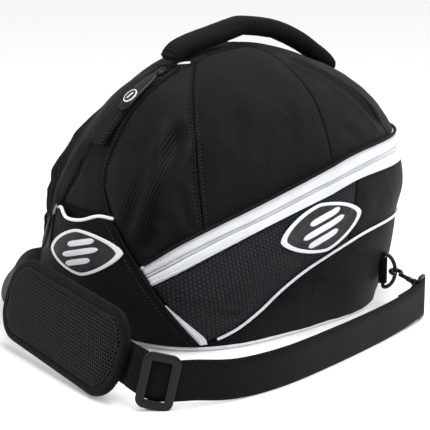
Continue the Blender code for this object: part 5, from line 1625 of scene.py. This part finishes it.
# Tri-glide: a moulded black frame in front of the webbing, on a bar behind that holds its sewn end.
glide_at = ROUTE_STEPS * (len(near_route) - 4)
glide_middle, glide_up, glide_out = near_places[glide_at]
glide_along = np.cross(glide_up, glide_out)


def glide_point(along, up, out):
    return glide_middle + glide_along * along + glide_up * up + glide_out * out


def rounded_box(along, up, out, corner):
    """Sections of a bar with rounded edges, between two places along each way."""
    sections = []
    a0, a1 = along
    for end, inset in ((out[0], corner), (out[0] + corner * 0.3, corner * 0.3), (out[0] + corner, 0.0),
                       (out[1] - corner, 0.0), (out[1] - corner * 0.3, corner * 0.3), (out[1], corner)):
        section = []
        for k, (a, b) in enumerate(((a1, up[1]), (a0, up[1]), (a0, up[0]), (a1, up[0]))):
            ca = a + (corner * 1.2) * (-1 if a == a1 else 1)
            cb = b + (corner * 1.2) * (-1 if b == up[1] else 1)
            radius = corner * 1.2 - inset
            for turn in np.radians(np.linspace(90 * k, 90 * k + 90, 6)):
                place = ca + radius * math.cos(turn), cb + radius * math.sin(turn)
                section.append(glide_point(*place, end))
        sections.append(section)
    return np.array(sections)


half_long, half_tall = GLIDE_LENGTH / 2, GLIDE_HEIGHT / 2
BAR_HALF, BAR_THICK, FRAME_CORNER = 0.0055, 0.0033, 0.0045
web_corners = []
for middle, across, normal in near_places[glide_at - ROUTE_STEPS:glide_at + ROUTE_STEPS + 1]:
    if abs((middle - glide_middle) @ glide_along) <= half_long + 0.002:
        for a, n in ((-1, -1), (1, -1), (1, 1), (-1, 1)):
            corner = across * a * WEB_WIDTH / 2 + normal * n * WEB_THICK / 2
            web_corners.append(middle + corner - glide_middle)
web_corners = np.array(web_corners)
slot_front = (web_corners @ glide_out).max() + GLIDE_PLAY
slot_back = GLIDE_PLAY - (web_corners @ glide_out).min()
open_height = np.abs(web_corners @ glide_up).max() + GLIDE_PLAY
bar_back = slot_back + BAR_THICK
frame_middle = slot_front + GLIDE_THICK / 2
frame_line = round_oblong(half_long - GLIDE_FRAME / 2, half_tall - GLIDE_FRAME / 2, FRAME_CORNER, 12)
frame_path = np.array([glide_point(a, b, frame_middle) for a, b in evened(frame_line, 120)])
ahead, _, _ = frames_along(frame_path, True)
bar(
    "glide_frame", frame_path, np.cross(ahead, glide_out) * GLIDE_FRAME / 2,
    np.broadcast_to(glide_out * GLIDE_THICK / 2, frame_path.shape), ["tri_glide"], PLASTIC,
    sides=16, power=4, ring=True,
)
for name, low, high, back, front, corner in (
    ("back_bar", -half_tall + 0.001, half_tall - 0.004, -bar_back, -slot_back, 0.0009),
    ("post_upper", open_height, half_tall - 0.003, -slot_back, slot_front, 0.0006),
    ("post_lower", -half_tall + 0.001, -open_height, -slot_back, slot_front, 0.0006),
):
    box = rounded_box((-BAR_HALF, BAR_HALF), (low, high), (back, front), corner)
    lofted(f"glide_{name}", box, [], PLASTIC, sharp=60)

# Stitching: polyester thread in rows beside the felled seams, round the pocket, along the zip tapes and
# inside the pad's binding.


def beside(node, edge, distance, lift=0.0004):
    """A line on a laid panel at a distance from one of its edges."""
    outer, away, normal = laid[node]
    surface = outer + normal * lift
    run = away[edge]
    if edge in "bt":
        surface, run = surface.transpose(1, 0, 2), run.T
    if edge in "rt":
        surface, run = surface[:, ::-1], run[:, ::-1]
    return np.array([
        [np.interp(distance, line, points[:, k]) for k in range(3)] for line, points in zip(run, surface)
    ])


BLACK_THREAD = moulded_finish("black_thread", (0.012, 0.012, 0.013), (0.032, 0.032, 0.034), 0.45)
# Pitch, half length and half thickness of the stitches
CLOTH_STITCH, TAPE_STITCH = (0.0042, 0.0014, 0.00060), (0.0032, 0.0012, 0.00026)
PAD_STITCH, PAD_STITCH_OUT = (0.0036, 0.0013, 0.00040), 0.0058
seam_lines = []
for node, edges, distance in (
    ("front_gore_near", "rt", 0.0050), ("side_gore_near", "l", 0.0050),
    ("front_gore_far", "rt", 0.0050), ("side_gore_far", "l", 0.0050),
    ("centre_strip", "lr", 0.0050), ("front_pocket", "lr", 0.0085), ("zip_flap", "lr", 0.0030),
    ("handle_foot_front", "lrbt", 0.0030), ("handle_foot_rear", "lrbt", 0.0030),
):
    seam_lines += [beside(node, edge, distance) for edge in edges]
beads_along("cloth_stitches", seam_lines, *CLOTH_STITCH, BLACK_THREAD, "black_polyester")
WHITE_THREAD = vinyl_finish("white_thread", (0.45, 0.46, 0.50), (0.62, 0.63, 0.66), 0.6)
tape_lines = [beside("zip_tape_lower", "b", 0.0028), beside("zip_tape_upper", "t", 0.0036)]
beads_along("tape_stitches", tape_lines, *TAPE_STITCH, WHITE_THREAD, "white_zip_tape")
inner_line = evened(pad_outline(PAD_BAND + 0.0006, 20), 300)
inner_line = np.concatenate([inner_line, inner_line[:1]])
pad_lines = [pad_points(inner_line, PAD_STITCH_OUT * side) for side in (1, -1)]
beads_along("pad_stitches", pad_lines, *PAD_STITCH, BLACK_THREAD, "black_polyester")
